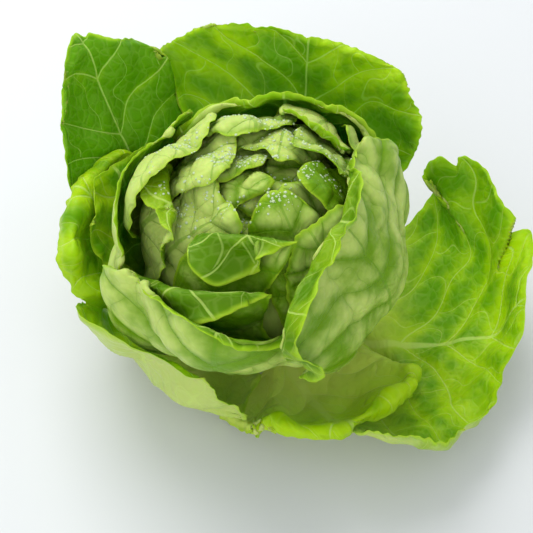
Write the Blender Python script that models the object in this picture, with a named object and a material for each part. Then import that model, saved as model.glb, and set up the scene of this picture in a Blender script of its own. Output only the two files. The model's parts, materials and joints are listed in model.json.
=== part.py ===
"""A head of butterhead lettuce, cut off at the butt and resting on it.

The leaves grow in order from the stem, the inner ones first. Each leaf is a sheet over two
directions, along its rib and across it. It is laid on what is already there, clear of it by a
small gap, so that every leaf is a piece of its own and none crosses another. The innermost
leaves are fused with the middle of the head as one piece, the heart.

Lengths are in millimetres here and angles in degrees. The meshes are in metres, +Z up. The
origin is the centre of the cut face of the butt. The front is -Y, and a leaf's azimuth turns
from the front towards +X.
"""

import math
from typing import NamedTuple

import bmesh
import bpy
import numpy as np

MM = 0.001

# The head: a slightly flattened ball that leans towards the front.
CENTRE = np.array([2.0, -4.0, 74.0])
LEAN = 14.0
HEART_RADIUS = 51.0
HEART_TOP = 43.0
HEART_BOTTOM = 32.0
BALL_RADIUS = 68.0

# The stem: radius of the cut face, and its profile as (radius, height).
STEM_PROFILE = ((14.5, 0.0), (15.8, 1.2), (17.0, 6.0), (19.0, 14.0), (19.0, 24.0), (15.0, 32.0))
STEM_SIDES = 24
STEM_GAP = 0.5

# The leaves: the blade, the rib that stands out of its outer face, and the clearances.
BLADE = 0.9
RIB_THICK = 1.6
RIB_HALF_WIDTH = 5.0
LEAF_GAP = 1.0
FLOOR_CLEARANCE = 0.5

# Laying a leaf on the pile: a point of the pile counts over this distance, and a place is
# covered when this share of its surroundings is.
SPREAD = 4.0
COVERED_SHARE = 0.35
PRESS_SOFTNESS = 0.3
LAY_SOFTNESS = 0.5
HUG = 0.5

# A leaf's grid lines each way, and how far its sheet runs on past both ends of the rib.
LINES = 25
OVERRUN = 20.0

# Where the five flares of a leaf are, as bearings from the tip, the unevenness of what turns
# out, and the turn from which it hangs down outside and shelters what is laid later. A flare
# takes at most this share of the way from the middle to the margin.
FLARE_BEARINGS = (-120.0, -70.0, 0.0, 70.0, 120.0)
FLARE_UNEVENNESS = 0.25
HANGING_TURN = 0.5 * math.pi
LARGEST_FLARE = 0.7

# The puckers between the veins and the ruffled margin.
PUCKER_LENGTH = 34.0
RUFFLE_FROM = 0.55
SECOND_WAVE = 2.3
SECOND_WAVE_HEIGHT = 0.6
MEAN_RUFFLE = 0.8

UP = np.array([0.0, 0.0, 1.0])
RIGHT = np.array([1.0, 0.0, 0.0])
FRONT = np.array([0.0, -1.0, 0.0])


class Leaf(NamedTuple):
    """One leaf. A rib with two numbers runs over the ball from the first to the second angle,
    counted from the stem over the outside, so that 180 is the crown. A longer rib is drawn
    through points (distance from the origin's vertical, height). The width is from the rib to
    the margin, and the cup is the radius across the rib on the left and on the right. A fold is
    a turn, a distance from the tip, and how far its direction lies to the right of the rib's."""

    name: str
    azimuth: float
    rib: tuple
    width: float
    widest: float = 0.6
    base: float = 0.3
    round: float = 0.85
    cup: tuple = (66.0, 66.0)
    flare: tuple = (0.0, 0.0, 0.0, 0.0, 0.0)
    flare_depth: float | tuple = 14.0
    flare_radius: float = 7.0
    fold: tuple = ()
    sway: float = 0.0
    shear: float = 0.0
    crumple: float = 1.0
    ruffle: float = 0.5
    waves: float = 5.0
    lift: float = 0.6
    lobes: float = 0.04
    step: int = 3
    root: float = 0.0
    shelters: bool = False


# The flare is how far the margin turns outwards at five places round it: low on the left,
# the left shoulder, the tip, the right shoulder and low on the right. Its depth is one number
# or one for each place. Left and right are those of someone who looks at the leaf's outer face.
HEART_LEAVES = (
    Leaf("heart_leaf_1", 292, (60, 177), 30, lobes=0.06, root=3.0),
    Leaf("heart_leaf_2", 192, (60, 186), 28, lobes=0.06, root=3.0),
    Leaf("heart_leaf_3", 144, (60, 178), 25, lobes=0.06, root=3.0),
    Leaf("heart_leaf_4", 244, (60, 172), 31, lobes=0.06, root=3.0),
    Leaf("heart_leaf_5", 84, (60, 175), 26, flare=(0, 20, 10, 10, 0), root=3.0),
    Leaf("heart_leaf_6", 30, (60, 176), 30, lobes=0.06, root=3.0),
)
CROWN_LEAVES = (
    Leaf("crown_leaf_1", 208, (56, 164), 30),
    Leaf("crown_leaf_2", 172, (56, 162), 27),
    Leaf("crown_leaf_3", 286, (56, 164), 30),
    Leaf("crown_leaf_4", 99, (56, 165), 27, flare=(0, 30, 10, 10, 0)),
    Leaf("crown_leaf_5", 45, (56, 160), 30),
    Leaf("crown_leaf_6", 232, (56, 157), 28),
    Leaf("crown_leaf_7", 136, (56, 156), 30, flare=(0, 30, 50, 20, 0), flare_depth=8),
    Leaf("crown_leaf_8", 327, (56, 179), 27, flare_radius=4, fold=(165, 27, -24)),
    Leaf("crown_leaf_9", 192, (56, 148), 30, flare=(0, 10, 20, 30, 0), flare_depth=8),
    Leaf("crown_leaf_10", 268, (56, 151), 30, flare_radius=5, fold=(130, 18, -20)),
    Leaf("crown_leaf_11", 154, (56, 144), 26, flare=(0, 50, 90, 50, 0), flare_depth=8, flare_radius=3),
    Leaf("crown_leaf_12", 238, (56, 142), 38),
)
WRAPPER_LEAVES = (
    Leaf("wrapper_leaf_far_right", 110, (34, 133), 44, step=2),
    Leaf(
        "wrapper_leaf_back", 174, (34, 132), 68,
        flare=(0, 90, 100, 80, 0), flare_depth=8, flare_radius=3, step=2,
    ),
    Leaf("wrapper_leaf_front", 320, (34, 152), 44, base=0.5, flare_radius=4, fold=(155, 25, -32), step=2),
    Leaf(
        "wrapper_leaf_left", 252, (34, 126), 56,
        flare=(0, 60, 60, 60, 0), flare_depth=7, flare_radius=3, step=2,
    ),
    Leaf(
        "wrapper_leaf_near", 340, (33, 136), 60, widest=0.7, round=0.7, base=0.8,
        flare=(0, 10, 120, 110, 0), flare_depth=(0, 6, 10, 12, 0), flare_radius=3, step=2,
    ),
    Leaf(
        "wrapper_leaf_right", 64, (34, 167), 72, round=0.7,
        flare=(0, 110, 120, 0, 0), flare_depth=(0, 15, 18, 0, 0), flare_radius=3, step=2,
    ),
)
OUTER_LEAVES = (
    Leaf(
        "outer_leaf_near_left", 240, ((30, 26), (54, 32), (74, 48), (84, 72), (86, 86)), 40,
        cup=(70, 70), flare=(0, 20, 20, 10, 0), ruffle=1, step=2,
    ),
    Leaf(
        "outer_leaf_left", 252, ((26, 20), (50, 26), (76, 44), (90, 68), (95, 92)), 48,
        cup=(80, 70), flare=(0, 60, 110, 100, 40), flare_depth=13, flare_radius=4, shelters=True,
        step=2,
    ),
    Leaf(
        "outer_leaf_back_left", 225, ((22, 14), (52, 14), (86, 38), (109, 82), (127, 128)), 46,
        widest=0.4, round=1.0, cup=(100, 90), flare=(10, 20, 10, -20, 0), ruffle=2, step=2,
    ),
    Leaf(
        "outer_leaf_back", 168.5, ((21, 12), (52, 10), (82, 28), (98, 64), (108, 117)), 67,
        widest=0.75, base=0.15, cup=(100, 100), flare=(0, 20, 10, 20, 0), ruffle=2, lobes=0.02,
        step=2,
    ),
    Leaf(
        "outer_leaf_front_left", 307, ((22, 12), (48, 7), (68, 20), (73, 44), (66, 68)), 56,
        widest=0.5, base=0.5, cup=(60, 60), step=2,
    ),
    Leaf(
        "outer_leaf_front", 28, ((20, 9), (46, 6), (68, 14), (79, 28), (82, 44)), 56,
        widest=0.55, base=0.7, cup=(32, 110), flare=(60, 100, 120, 120, 60), flare_depth=11,
        flare_radius=4, step=2,
    ),
    Leaf(
        "outer_leaf_right", 84, ((22, 11), (52, 6), (90, 6), (114, 18), (127, 42)), 98,
        widest=0.52, round=0.75, shear=0.33, sway=4, cup=(150, 80), flare=(-70, -75, -10, 0, 0),
        flare_depth=36, flare_radius=25, ruffle=1.5, step=2,
    ),
)

COLOURS = {
    "outer_green": (0.13, 0.32, 0.02),
    "inner_green": (0.27, 0.45, 0.06),
    "butt": (0.74, 0.76, 0.50),
}


def smooth_step(low, high, value):
    """0 below low, 1 above high, and smooth between them."""
    share = np.clip((value - low) / (high - low), 0.0, 1.0)
    return share * share * (3.0 - 2.0 * share)


def soft_max(first, second, softness):
    """The larger of two values, rounded off where they are nearly equal."""
    return softness * np.logaddexp(first / softness, second / softness)


def unit(vectors):
    """The vectors at length 1."""
    return vectors / np.linalg.norm(vectors, axis=-1, keepdims=True)


def leaned_axes():
    """The front and up directions of the leaning head."""
    angle = math.radians(LEAN)
    front = math.cos(angle) * FRONT - math.sin(angle) * UP
    up = math.cos(angle) * UP + math.sin(angle) * FRONT
    return front, up


def heart_radius(directions):
    """The middle's radius along each direction: an egg, round at its widest and low in height."""
    _, up = leaned_axes()
    height = directions @ up
    flat = np.sqrt(np.maximum(1.0 - height**2, 0.0))
    end = np.where(height > 0.0, HEART_TOP, HEART_BOTTOM)
    return 1.0 / np.sqrt((flat / HEART_RADIUS) ** 2 + (height / end) ** 2)


def even_directions(count):
    """Directions spread evenly over a ball, along a spiral from pole to pole."""
    turn = math.pi * (3.0 - math.sqrt(5.0))
    index = np.arange(count)
    height = 1.0 - (2.0 * index + 1.0) / count
    flat = np.sqrt(1.0 - height**2)
    return np.stack([flat * np.cos(turn * index), flat * np.sin(turn * index), height], 1)


class Pile:
    """What has been laid so far, as points with a direction and a distance from the centre."""

    def __init__(self):
        directions = even_directions(1500)
        radii = heart_radius(directions)
        self.directions = directions.astype(np.float32)
        self.radii = radii
        self.areas = 4.0 * math.pi * BALL_RADIUS**2 / len(radii) * np.ones(len(radii))
        self.waiting = []

    def add(self, points, areas, waiting):
        """Adds points. Those of a flap that shelters later leaves wait until settle is called."""
        away = points - CENTRE
        radii = np.linalg.norm(away, axis=1)
        directions = (away / radii[:, None]).astype(np.float32)
        laid = directions, radii, areas * (BALL_RADIUS / radii) ** 2
        self.put(*(values[~waiting] for values in laid))
        self.waiting.append([values[waiting] for values in laid])

    def put(self, directions, radii, areas):
        self.directions = np.concatenate([self.directions, directions])
        self.radii = np.concatenate([self.radii, radii])
        self.areas = np.concatenate([self.areas, areas])

    def settle(self):
        """Adds the flaps that have waited."""
        for laid in self.waiting:
            self.put(*laid)
        self.waiting = []

    def reach(self, directions):
        """How far the pile reaches along each direction: a soft maximum of the nearby points."""
        top = self.radii.max()
        weights = self.areas * np.exp((self.radii - top) / PRESS_SOFTNESS)
        narrow = np.float32(2.0 * (BALL_RADIUS / SPREAD) ** 2)
        near = np.exp((directions.astype(np.float32) @ self.directions.T - 1) * narrow)
        raised = near.astype(float) @ weights
        covered = COVERED_SHARE * math.pi * SPREAD**2
        return top + PRESS_SOFTNESS * np.log(raised / covered + 1e-300)


def clear_of(pile, points, gap, floor):
    """Moves points straight out from the centre until they clear the pile, and then up to the
    floor's height."""
    away = points - CENTRE
    radii = np.linalg.norm(away, axis=1)
    directions = away / radii[:, None]
    radii = soft_max(radii, pile.reach(directions) + gap, LAY_SOFTNESS)
    points = CENTRE + directions * radii[:, None]
    points[:, 2] = soft_max(points[:, 2], floor, PRESS_SOFTNESS)
    return clear_of_stem(points)


def clear_of_stem(points):
    """Moves points level outwards until they clear the stem."""
    profile = np.array(STEM_PROFILE)
    wall = np.interp(points[:, 2], profile[:, 1], profile[:, 0], right=0.0) + STEM_GAP
    out = np.hypot(points[:, 0], points[:, 1])
    scale = np.where(out < wall, wall / np.maximum(out, 1e-6), 1.0)
    points[:, :2] *= scale[:, None]
    return points


class Sheet:
    """A leaf's smooth middle surface, before it meets the others."""

    def __init__(self, leaf):
        self.leaf = leaf
        angle = math.radians(leaf.azimuth)
        if len(leaf.rib) == 2:
            front, up = leaned_axes()
            origin = CENTRE
            self.hug = HUG
            turn = np.radians(np.linspace(leaf.rib[0], leaf.rib[1], 200))
            path = BALL_RADIUS * np.stack([np.sin(turn), -np.cos(turn)], 1)
        else:
            front, up = FRONT, UP
            origin = np.zeros(3)
            self.hug = 1.0
            path = curve_through(np.array(leaf.rib, float), 200)
        outward = math.cos(angle) * front + math.sin(angle) * RIGHT
        self.side = -math.sin(angle) * front + math.cos(angle) * RIGHT
        steps = np.linalg.norm(np.diff(path, axis=0), axis=1)
        self.along = np.concatenate([[0.0], np.cumsum(steps)])
        self.length = self.along[-1]
        self.path = origin + path[:, :1] * outward + path[:, 1:] * up
        slope = unit(np.gradient(path, self.along, axis=0))
        self.inward = -slope[:, 1:] * outward + slope[:, :1] * up
        ahead = slope[:, :1] * outward + slope[:, 1:] * up
        self.along = np.concatenate([[-OVERRUN], self.along, [self.length + OVERRUN]])
        ends = self.path[:1] - OVERRUN * ahead[:1], self.path[-1:] + OVERRUN * ahead[-1:]
        self.path = np.concatenate([ends[0], self.path, ends[1]])
        self.inward = np.concatenate([self.inward[:1], self.inward, self.inward[-1:]])

    def at(self, along, across):
        """The point at these distances along the rib and across it. Across the rib the sheet
        is an arc of the leaf's cup radius, which bends towards the head."""
        share = along / self.length
        middle = np.stack([np.interp(along, self.along, self.path[:, k]) for k in range(3)], 1)
        inward = np.stack([np.interp(along, self.along, self.inward[:, k]) for k in range(3)], 1)
        cup = np.where(across < 0.0, self.leaf.cup[0], self.leaf.cup[1])
        turn = across / cup
        sideways = cup * np.sin(turn) + self.leaf.sway * share**2
        points = middle + sideways[:, None] * self.side + (cup * (1.0 - np.cos(turn)))[:, None] * inward
        return CENTRE + self.hug * (points - CENTRE)


def curve_through(stations, count):
    """A smooth curve through the stations, as a chain of cubic pieces."""
    padded = np.concatenate([[2 * stations[0] - stations[1]], stations, [2 * stations[-1] - stations[-2]]])
    where = np.linspace(0.0, len(stations) - 1 - 1e-9, count)
    piece = where.astype(int)
    t = (where - piece)[:, None]
    before, start, end, after = (padded[piece + k] for k in range(4))
    return 0.5 * (
        2 * start
        + (end - before) * t
        + (2 * before - 5 * start + 4 * end - after) * t**2
        + (3 * start - before - 3 * end + after) * t**3
    )


def line_places(count):
    """Places of the grid lines from -1 to 1, closer together near both ends."""
    even = np.linspace(-1.0, 1.0, count)
    return 0.5 * even + 0.5 * np.sin(0.5 * math.pi * even)


def flat_outline(leaf, length, seed):
    """The flat leaf as a grid: the distances along and across of each grid point, its share of
    the way from the middle to the margin, the length of that way, its bearing from the tip and
    the flat direction towards the margin."""
    places = line_places(LINES)
    v, u = np.meshgrid(places, places, indexing="ij")
    v, u = v.ravel(), u.ravel()
    upper = v > 0.0
    x = np.where(upper, u * np.sqrt(1.0 - leaf.round * v**2 / 2.0), u)
    y = np.where(upper, v * np.sqrt(1.0 - leaf.round * u**2 / 2.0), v)
    bearing = np.where(upper, np.arctan2(x, np.maximum(y, 1e-9)), np.sign(u) * (0.5 * math.pi - v))
    share = np.where(upper, np.maximum(np.abs(u), v), np.abs(u))
    edge = np.hypot(x, y) / np.maximum(share, 1e-9)
    rng = np.random.default_rng(seed)
    wobble = sum(
        rng.uniform(0.4, 1.0) * np.sin(k * bearing + rng.uniform(0.0, 2.0 * math.pi)) for k in range(2, 8)
    )
    grow = 1.0 + leaf.lobes * wobble * share**2
    narrow = np.where(upper, 1.0, leaf.base + (1.0 - leaf.base) * smooth_step(-1.05, 0.1, v))
    foot = leaf.widest * length
    head = length - foot
    along = np.where(upper, foot + y * head * grow, foot * (1.0 + v))
    across = x * leaf.width * narrow * grow
    along = along + leaf.shear * across * smooth_step(-1.0, 0.0, v)
    reach_x = np.where(upper, edge * np.cos(bearing) * head, 0.0)
    level = np.where(u < 0.0, -1.0, 1.0) * narrow
    reach_y = leaf.width * np.where(upper, edge * np.sin(bearing), level)
    ray = np.hypot(reach_x, reach_y)
    return along, across, share, ray, bearing, (reach_x / ray, reach_y / ray)


def smooth_noise(rng, x, y, wavelength):
    """A soft random surface between about -1 and 1: six plane waves of near wavelengths."""
    total = np.zeros_like(x)
    for _ in range(6):
        turn = rng.uniform(0.0, 2.0 * math.pi)
        length = wavelength * rng.uniform(0.7, 1.5)
        phase = rng.uniform(0.0, 2.0 * math.pi)
        total += np.cos(2.0 * math.pi * (x * math.cos(turn) + y * math.sin(turn)) / length + phase)
    return total / 3.0


def grid_normals(points):
    """The outward direction at each point of a grid of points. The two corners beside the tip
    take that of their neighbour, as both grid lines run along the margin there."""
    along = np.gradient(points, axis=0)
    across = np.gradient(points, axis=1)
    normals = unit(np.cross(across, along))
    normals[-1, 0] = normals[-2, 1]
    normals[-1, -1] = normals[-2, -2]
    return normals


def grid_areas(points):
    """The area that each point of a grid stands for."""
    along = np.gradient(points, axis=0)
    across = np.gradient(points, axis=1)
    return np.linalg.norm(np.cross(across, along), axis=-1)


def flare_turn(leaf, bearing):
    """How far the margin turns outwards at each bearing from the tip."""
    stations = np.radians(FLARE_BEARINGS)
    return np.radians(np.interp(bearing, stations, leaf.flare))


def fold_share(leaf, ray, bearing):
    """Where on the way from the middle to the margin the flare's fold line is. A slight flare
    is shallow too."""
    depths = np.broadcast_to(leaf.flare_depth, len(FLARE_BEARINGS))
    depth = np.interp(bearing, np.radians(FLARE_BEARINGS), depths)
    depth = depth * np.clip(np.abs(flare_turn(leaf, bearing)) / HANGING_TURN, 0.0, 1.0)
    return np.clip(1.0 - depth / ray, 1.0 - LARGEST_FLARE, 1.0)


def turned_part(leaf, length, along, across, share, ray, bearing, heading):
    """What turns outwards: each point's turn, its distance beyond the fold line and the flat
    direction of that distance. A flare's line runs along the margin. A fold's is straight."""
    if leaf.fold:
        turn, depth, skew = leaf.fold
        dx, dy = math.cos(math.radians(skew)), math.sin(math.radians(skew))
        beyond = np.maximum((along - length + depth) * dx + across * dy, 0.0)
        heading = np.full_like(along, dx), np.full_like(along, dy)
        return np.full_like(along, math.radians(turn)), beyond, heading
    beyond = np.maximum(share - fold_share(leaf, ray, bearing), 0.0) * ray
    return flare_turn(leaf, bearing), beyond, heading


def flared(leaf, surface, along, across, share, bearing, turned, rng):
    """Rolls the margin outwards: past the fold line a point follows a small arc round it and
    then runs on straight."""
    turn, beyond, (dx, dy) = turned
    turn = turn * (1.0 + FLARE_UNEVENNESS * smooth_noise(rng, bearing, share, 1.0))
    fold_along, fold_across = along - beyond * dx, across - beyond * dy
    at_fold = surface(fold_along, fold_across)
    lengthwise = surface(fold_along + 1.0, fold_across) - at_fold
    crosswise = surface(fold_along, fold_across + 1.0) - at_fold
    forward = unit(dx[:, None] * lengthwise + dy[:, None] * crosswise)
    outward = unit(np.cross(crosswise, lengthwise))
    sign = np.sign(turn)
    turn = np.maximum(np.abs(turn), 1e-3)
    radius = leaf.flare_radius
    arc = np.minimum(beyond / radius, turn)
    rest = beyond - arc * radius
    go = radius * np.sin(arc) + rest * np.cos(arc)
    rise = (radius * (1.0 - np.cos(arc)) + rest * np.sin(arc)) * sign
    return at_fold + go[:, None] * forward + rise[:, None] * outward


def leaf_grid(leaf, seed, pile):
    """The leaf's inner face as a grid of points, laid on the pile."""
    sheet = Sheet(leaf)
    rng = np.random.default_rng(seed)
    along, across, share, ray, bearing, heading = flat_outline(leaf, sheet.length, seed)

    floor = FLOOR_CLEARANCE + thickness(along, across, sheet.length)
    gap = LEAF_GAP - (leaf.root + LEAF_GAP) * (1.0 - smooth_step(0.1, 0.3, along / sheet.length))
    gap = gap if leaf.root else LEAF_GAP

    def surface(a, b):
        return clear_of(pile, sheet.at(a, b), gap, floor)

    turned = turned_part(leaf, sheet.length, along, across, share, ray, bearing, heading)
    turn, beyond, _ = turned
    points = flared(leaf, surface, along, across, share, bearing, turned, rng)
    grid = points.reshape(LINES, LINES, 3)
    normals = grid_normals(grid).reshape(-1, 3)
    puckers = 0.5 + 0.5 * smooth_noise(rng, along, across, PUCKER_LENGTH)
    edge = smooth_step(RUFFLE_FROM, 1.0, share)
    first, second = rng.uniform(0.0, 2.0 * math.pi, 2)
    waves = np.sin(leaf.waves * bearing + first)
    waves = waves + SECOND_WAVE_HEIGHT * np.sin(SECOND_WAVE * leaf.waves * bearing + second)
    ease = smooth_step(0.0, 0.25, along / sheet.length)
    ruffle = leaf.lift + leaf.ruffle * (MEAN_RUFFLE + waves)
    raised = ease * (leaf.crumple * puckers + edge * ruffle)
    points = clear_of(pile, points + raised[:, None] * normals, gap, floor)
    hanging = (beyond > 0.0) & (turn > HANGING_TURN)
    return points.reshape(LINES, LINES, 3), along, across, sheet.length, hanging


def thickness(along, across, length):
    """The blade's thickness, with the rib standing out of its outer face near the base."""
    rib = np.exp(-((across / RIB_HALF_WIDTH) ** 2)) * (1.0 - along / length) ** 2
    return BLADE + RIB_THICK * rib


def sheet_solid(name, inner, outer):
    """A closed solid between two grids of points, split into triangles alike on both faces."""
    rows, columns, _ = inner.shape
    count = rows * columns
    points = np.concatenate([inner.reshape(-1, 3), outer.reshape(-1, 3)]) * MM
    index = np.arange(count).reshape(rows, columns)
    a, b = index[:-1, :-1].ravel(), index[:-1, 1:].ravel()
    c, d = index[1:, 1:].ravel(), index[1:, :-1].ravel()
    outside = np.concatenate([np.stack([a, b, c], 1), np.stack([a, c, d], 1)])
    loop = np.concatenate([index[0, :-1], index[:-1, -1], index[-1, :0:-1], index[:0:-1, 0]])
    following = np.roll(loop, -1)
    low, high = [loop, following, following + count], [loop, following + count, loop + count]
    wall = np.concatenate([np.stack(low, 1), np.stack(high, 1)])
    faces = np.concatenate([outside + count, outside[:, ::-1], wall])
    mesh = bpy.data.meshes.new(name)
    mesh.from_pydata(points.tolist(), [], faces.tolist())
    mesh.update()
    return mesh


def leaf_solid(leaf, seed, pile):
    """Lays a leaf on the pile and returns its mesh."""
    grid, along, across, length, hanging = leaf_grid(leaf, seed, pile)
    normals = grid_normals(grid)
    thick = thickness(along, across, length).reshape(LINES, LINES, 1)
    outer = grid + normals * thick
    pile.add(outer.reshape(-1, 3), grid_areas(grid).ravel(), hanging & leaf.shelters)
    lines = np.arange(0, LINES, leaf.step)
    picked = np.ix_(lines, lines)
    return sheet_solid(leaf.name, grid[picked], outer[picked])


def material(name):
    made = bpy.data.materials.new(name)
    made.use_nodes = True
    shader = made.node_tree.nodes["Principled BSDF"]
    shader.inputs["Base Color"].default_value = (*COLOURS[name], 1.0)
    shader.inputs["Roughness"].default_value = 0.45
    shader.inputs["Metallic"].default_value = 0.0
    return made


def new_object(name, mesh, collection, colour):
    made = bpy.data.objects.new(name, mesh)
    collection.objects.link(made)
    mesh.materials.append(colour)
    mesh.shade_smooth()
    return made


def build_stem(collection, colour):
    """The butt and the core of the stem, turned round a vertical axis."""
    radii, heights = zip(*STEM_PROFILE)
    angles = np.linspace(0.0, 2.0 * math.pi, STEM_SIDES, endpoint=False)
    maker = bmesh.new()
    rings = [
        [maker.verts.new((r * MM * math.cos(t), r * MM * math.sin(t), h * MM)) for t in angles]
        for r, h in zip(radii, heights)
    ]
    for low, high in zip(rings, rings[1:]):
        for k in range(STEM_SIDES):
            following = (k + 1) % STEM_SIDES
            maker.faces.new((low[k], low[following], high[following], high[k]))
    maker.faces.new(rings[0][::-1])
    maker.faces.new(rings[-1])
    mesh = bpy.data.meshes.new("stem")
    maker.to_mesh(mesh)
    maker.free()
    return new_object("stem", mesh, collection, colour)


def build_core(collection, colour):
    """The middle of the head: a ball of even directions at the heart's radii."""
    maker = bmesh.new()
    bmesh.ops.create_icosphere(maker, subdivisions=3, radius=1.0)
    corners = np.array([tuple(corner.co) for corner in maker.verts])
    places = (CENTRE + corners * heart_radius(corners)[:, None]) * MM
    for corner, place in zip(maker.verts, places):
        corner.co = place
    mesh = bpy.data.meshes.new("heart")
    maker.to_mesh(mesh)
    maker.free()
    return new_object("heart", mesh, collection, colour)


def fuse(target, parts):
    """Joins the parts to the target as one solid and removes them."""
    bpy.context.view_layer.objects.active = target
    for part in parts:
        union = target.modifiers.new("union", "BOOLEAN")
        union.operation = "UNION"
        union.solver = "MANIFOLD"
        union.object = part
        bpy.ops.object.modifier_apply(modifier=union.name)
        bpy.data.objects.remove(part)


def main():
    for old in list(bpy.data.objects):
        bpy.data.objects.remove(old)
    head = bpy.data.collections.new("lettuce_head")
    bpy.context.scene.collection.children.link(head)
    colours = {name: material(name) for name in COLOURS}
    pile = Pile()
    build_stem(head, colours["butt"])
    core = build_core(head, colours["inner_green"])
    seed = 0
    for group in (HEART_LEAVES, CROWN_LEAVES, WRAPPER_LEAVES, OUTER_LEAVES):
        colour = colours["outer_green" if group is OUTER_LEAVES else "inner_green"]
        laid = []
        for leaf in group:
            seed += 1
            laid.append(new_object(leaf.name, leaf_solid(leaf, seed, pile), head, colour))
        pile.settle()
        if group is HEART_LEAVES:
            fuse(core, laid)


main()
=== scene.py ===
"""A head of butterhead lettuce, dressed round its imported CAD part.

The CAD leaves are coarse sheets. Here each leaf is laid again by the same rules, drawn on a much
finer grid, and given puckers between its veins, a rippled margin and a leaf's own colours. The
water drops on the crown, the core of the heart and the cut butt are pieces of their own.

Lengths are in millimetres inside the leaf code and in metres in the meshes, +Z up. The front is
-Y, and a leaf's azimuth turns from the front towards +X.
"""

import functools
import json
import math
from typing import NamedTuple

import bpy
import numpy as np
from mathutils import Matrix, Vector
from mathutils.bvhtree import BVHTree

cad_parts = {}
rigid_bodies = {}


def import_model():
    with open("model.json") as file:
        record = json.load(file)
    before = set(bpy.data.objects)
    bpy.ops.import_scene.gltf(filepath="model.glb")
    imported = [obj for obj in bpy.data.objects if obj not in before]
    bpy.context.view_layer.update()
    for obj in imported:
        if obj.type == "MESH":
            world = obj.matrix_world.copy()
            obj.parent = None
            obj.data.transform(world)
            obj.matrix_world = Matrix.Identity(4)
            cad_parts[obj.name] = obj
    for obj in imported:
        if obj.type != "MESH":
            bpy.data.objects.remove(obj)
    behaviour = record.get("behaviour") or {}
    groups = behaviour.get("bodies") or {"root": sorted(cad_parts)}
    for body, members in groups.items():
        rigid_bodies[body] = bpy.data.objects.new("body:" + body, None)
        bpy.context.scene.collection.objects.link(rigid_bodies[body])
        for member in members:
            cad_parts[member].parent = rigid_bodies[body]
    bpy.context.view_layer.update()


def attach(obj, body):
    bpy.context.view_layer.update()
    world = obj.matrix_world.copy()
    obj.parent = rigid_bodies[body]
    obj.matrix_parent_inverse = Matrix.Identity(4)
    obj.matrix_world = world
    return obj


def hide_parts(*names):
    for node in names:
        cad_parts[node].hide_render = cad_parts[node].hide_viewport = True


bl_info = {
    "name": "Butterhead lettuce",
    "version": (1, 0, 0),
    "blender": (4, 5, 0),
    "location": "View3D > Sidebar > Lettuce",
    "description": "Dresses the lettuce head with fine leaves, veins, water drops and a stage",
    "category": "Object",
}

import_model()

MM = 0.001

# The head: a slightly flattened ball that leans towards the front.
CENTRE = np.array([2.0, -4.0, 74.0])
LEAN = 14.0
HEART_RADIUS = 51.0
HEART_TOP = 43.0
HEART_BOTTOM = 32.0
BALL_RADIUS = 68.0

# The stem's profile as (radius, height), and the least gap between it and a leaf.
STEM_PROFILE = ((14.5, 0.0), (15.8, 1.2), (17.0, 6.0), (19.0, 14.0), (19.0, 24.0), (15.0, 32.0))
STEM_GAP = 0.5

# The leaves: the blade, the rib that stands out of its outer face, and the clearances.
BLADE = 0.9
RIB_THICK = 1.6
RIB_HALF_WIDTH = 5.0
LEAF_GAP = 1.0
FLOOR_CLEARANCE = 0.5

# Laying a leaf on the pile: a point of the pile counts over this distance, and a place is
# covered when this share of its surroundings is.
SPREAD = 4.0
COVERED_SHARE = 0.35
PRESS_SOFTNESS = 0.3
LAY_SOFTNESS = 0.5
HUG = 0.5

# A leaf's grid lines each way, and how far its sheet runs on past both ends of the rib.
LINES = 25
OVERRUN = 20.0

# Where the five flares of a leaf are, as bearings from the tip, the unevenness of what turns
# out, and the turn from which it hangs down outside and shelters what is laid later. A flare
# takes at most this share of the way from the middle to the margin.
FLARE_BEARINGS = (-120.0, -70.0, 0.0, 70.0, 120.0)
FLARE_UNEVENNESS = 0.25
HANGING_TURN = 0.5 * math.pi
LARGEST_FLARE = 0.7

# The puckers between the veins and the ruffled margin.
PUCKER_LENGTH = 34.0
RUFFLE_FROM = 0.55
SECOND_WAVE = 2.3
SECOND_WAVE_HEIGHT = 0.6
MEAN_RUFFLE = 0.8

UP = np.array([0.0, 0.0, 1.0])
RIGHT = np.array([1.0, 0.0, 0.0])
FRONT = np.array([0.0, -1.0, 0.0])


class Leaf(NamedTuple):
    """One leaf. A rib with two numbers runs over the ball from the first to the second angle,
    counted from the stem over the outside, so that 180 is the crown. A longer rib is drawn
    through points (distance from the origin's vertical, height). The width is from the rib to
    the margin, and the cup is the radius across the rib on the left and on the right. A fold is
    a turn, a distance from the tip, and how far its direction lies to the right of the rib's."""

    name: str
    azimuth: float
    rib: tuple
    width: float
    widest: float = 0.6
    base: float = 0.3
    round: float = 0.85
    cup: tuple = (66.0, 66.0)
    flare: tuple = (0.0, 0.0, 0.0, 0.0, 0.0)
    flare_depth: float | tuple = 14.0
    flare_radius: float = 7.0
    fold: tuple = ()
    sway: float = 0.0
    shear: float = 0.0
    crumple: float = 1.0
    ruffle: float = 0.5
    waves: float = 5.0
    lift: float = 0.6
    lobes: float = 0.04
    root: float = 0.0
    shelters: bool = False


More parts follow.
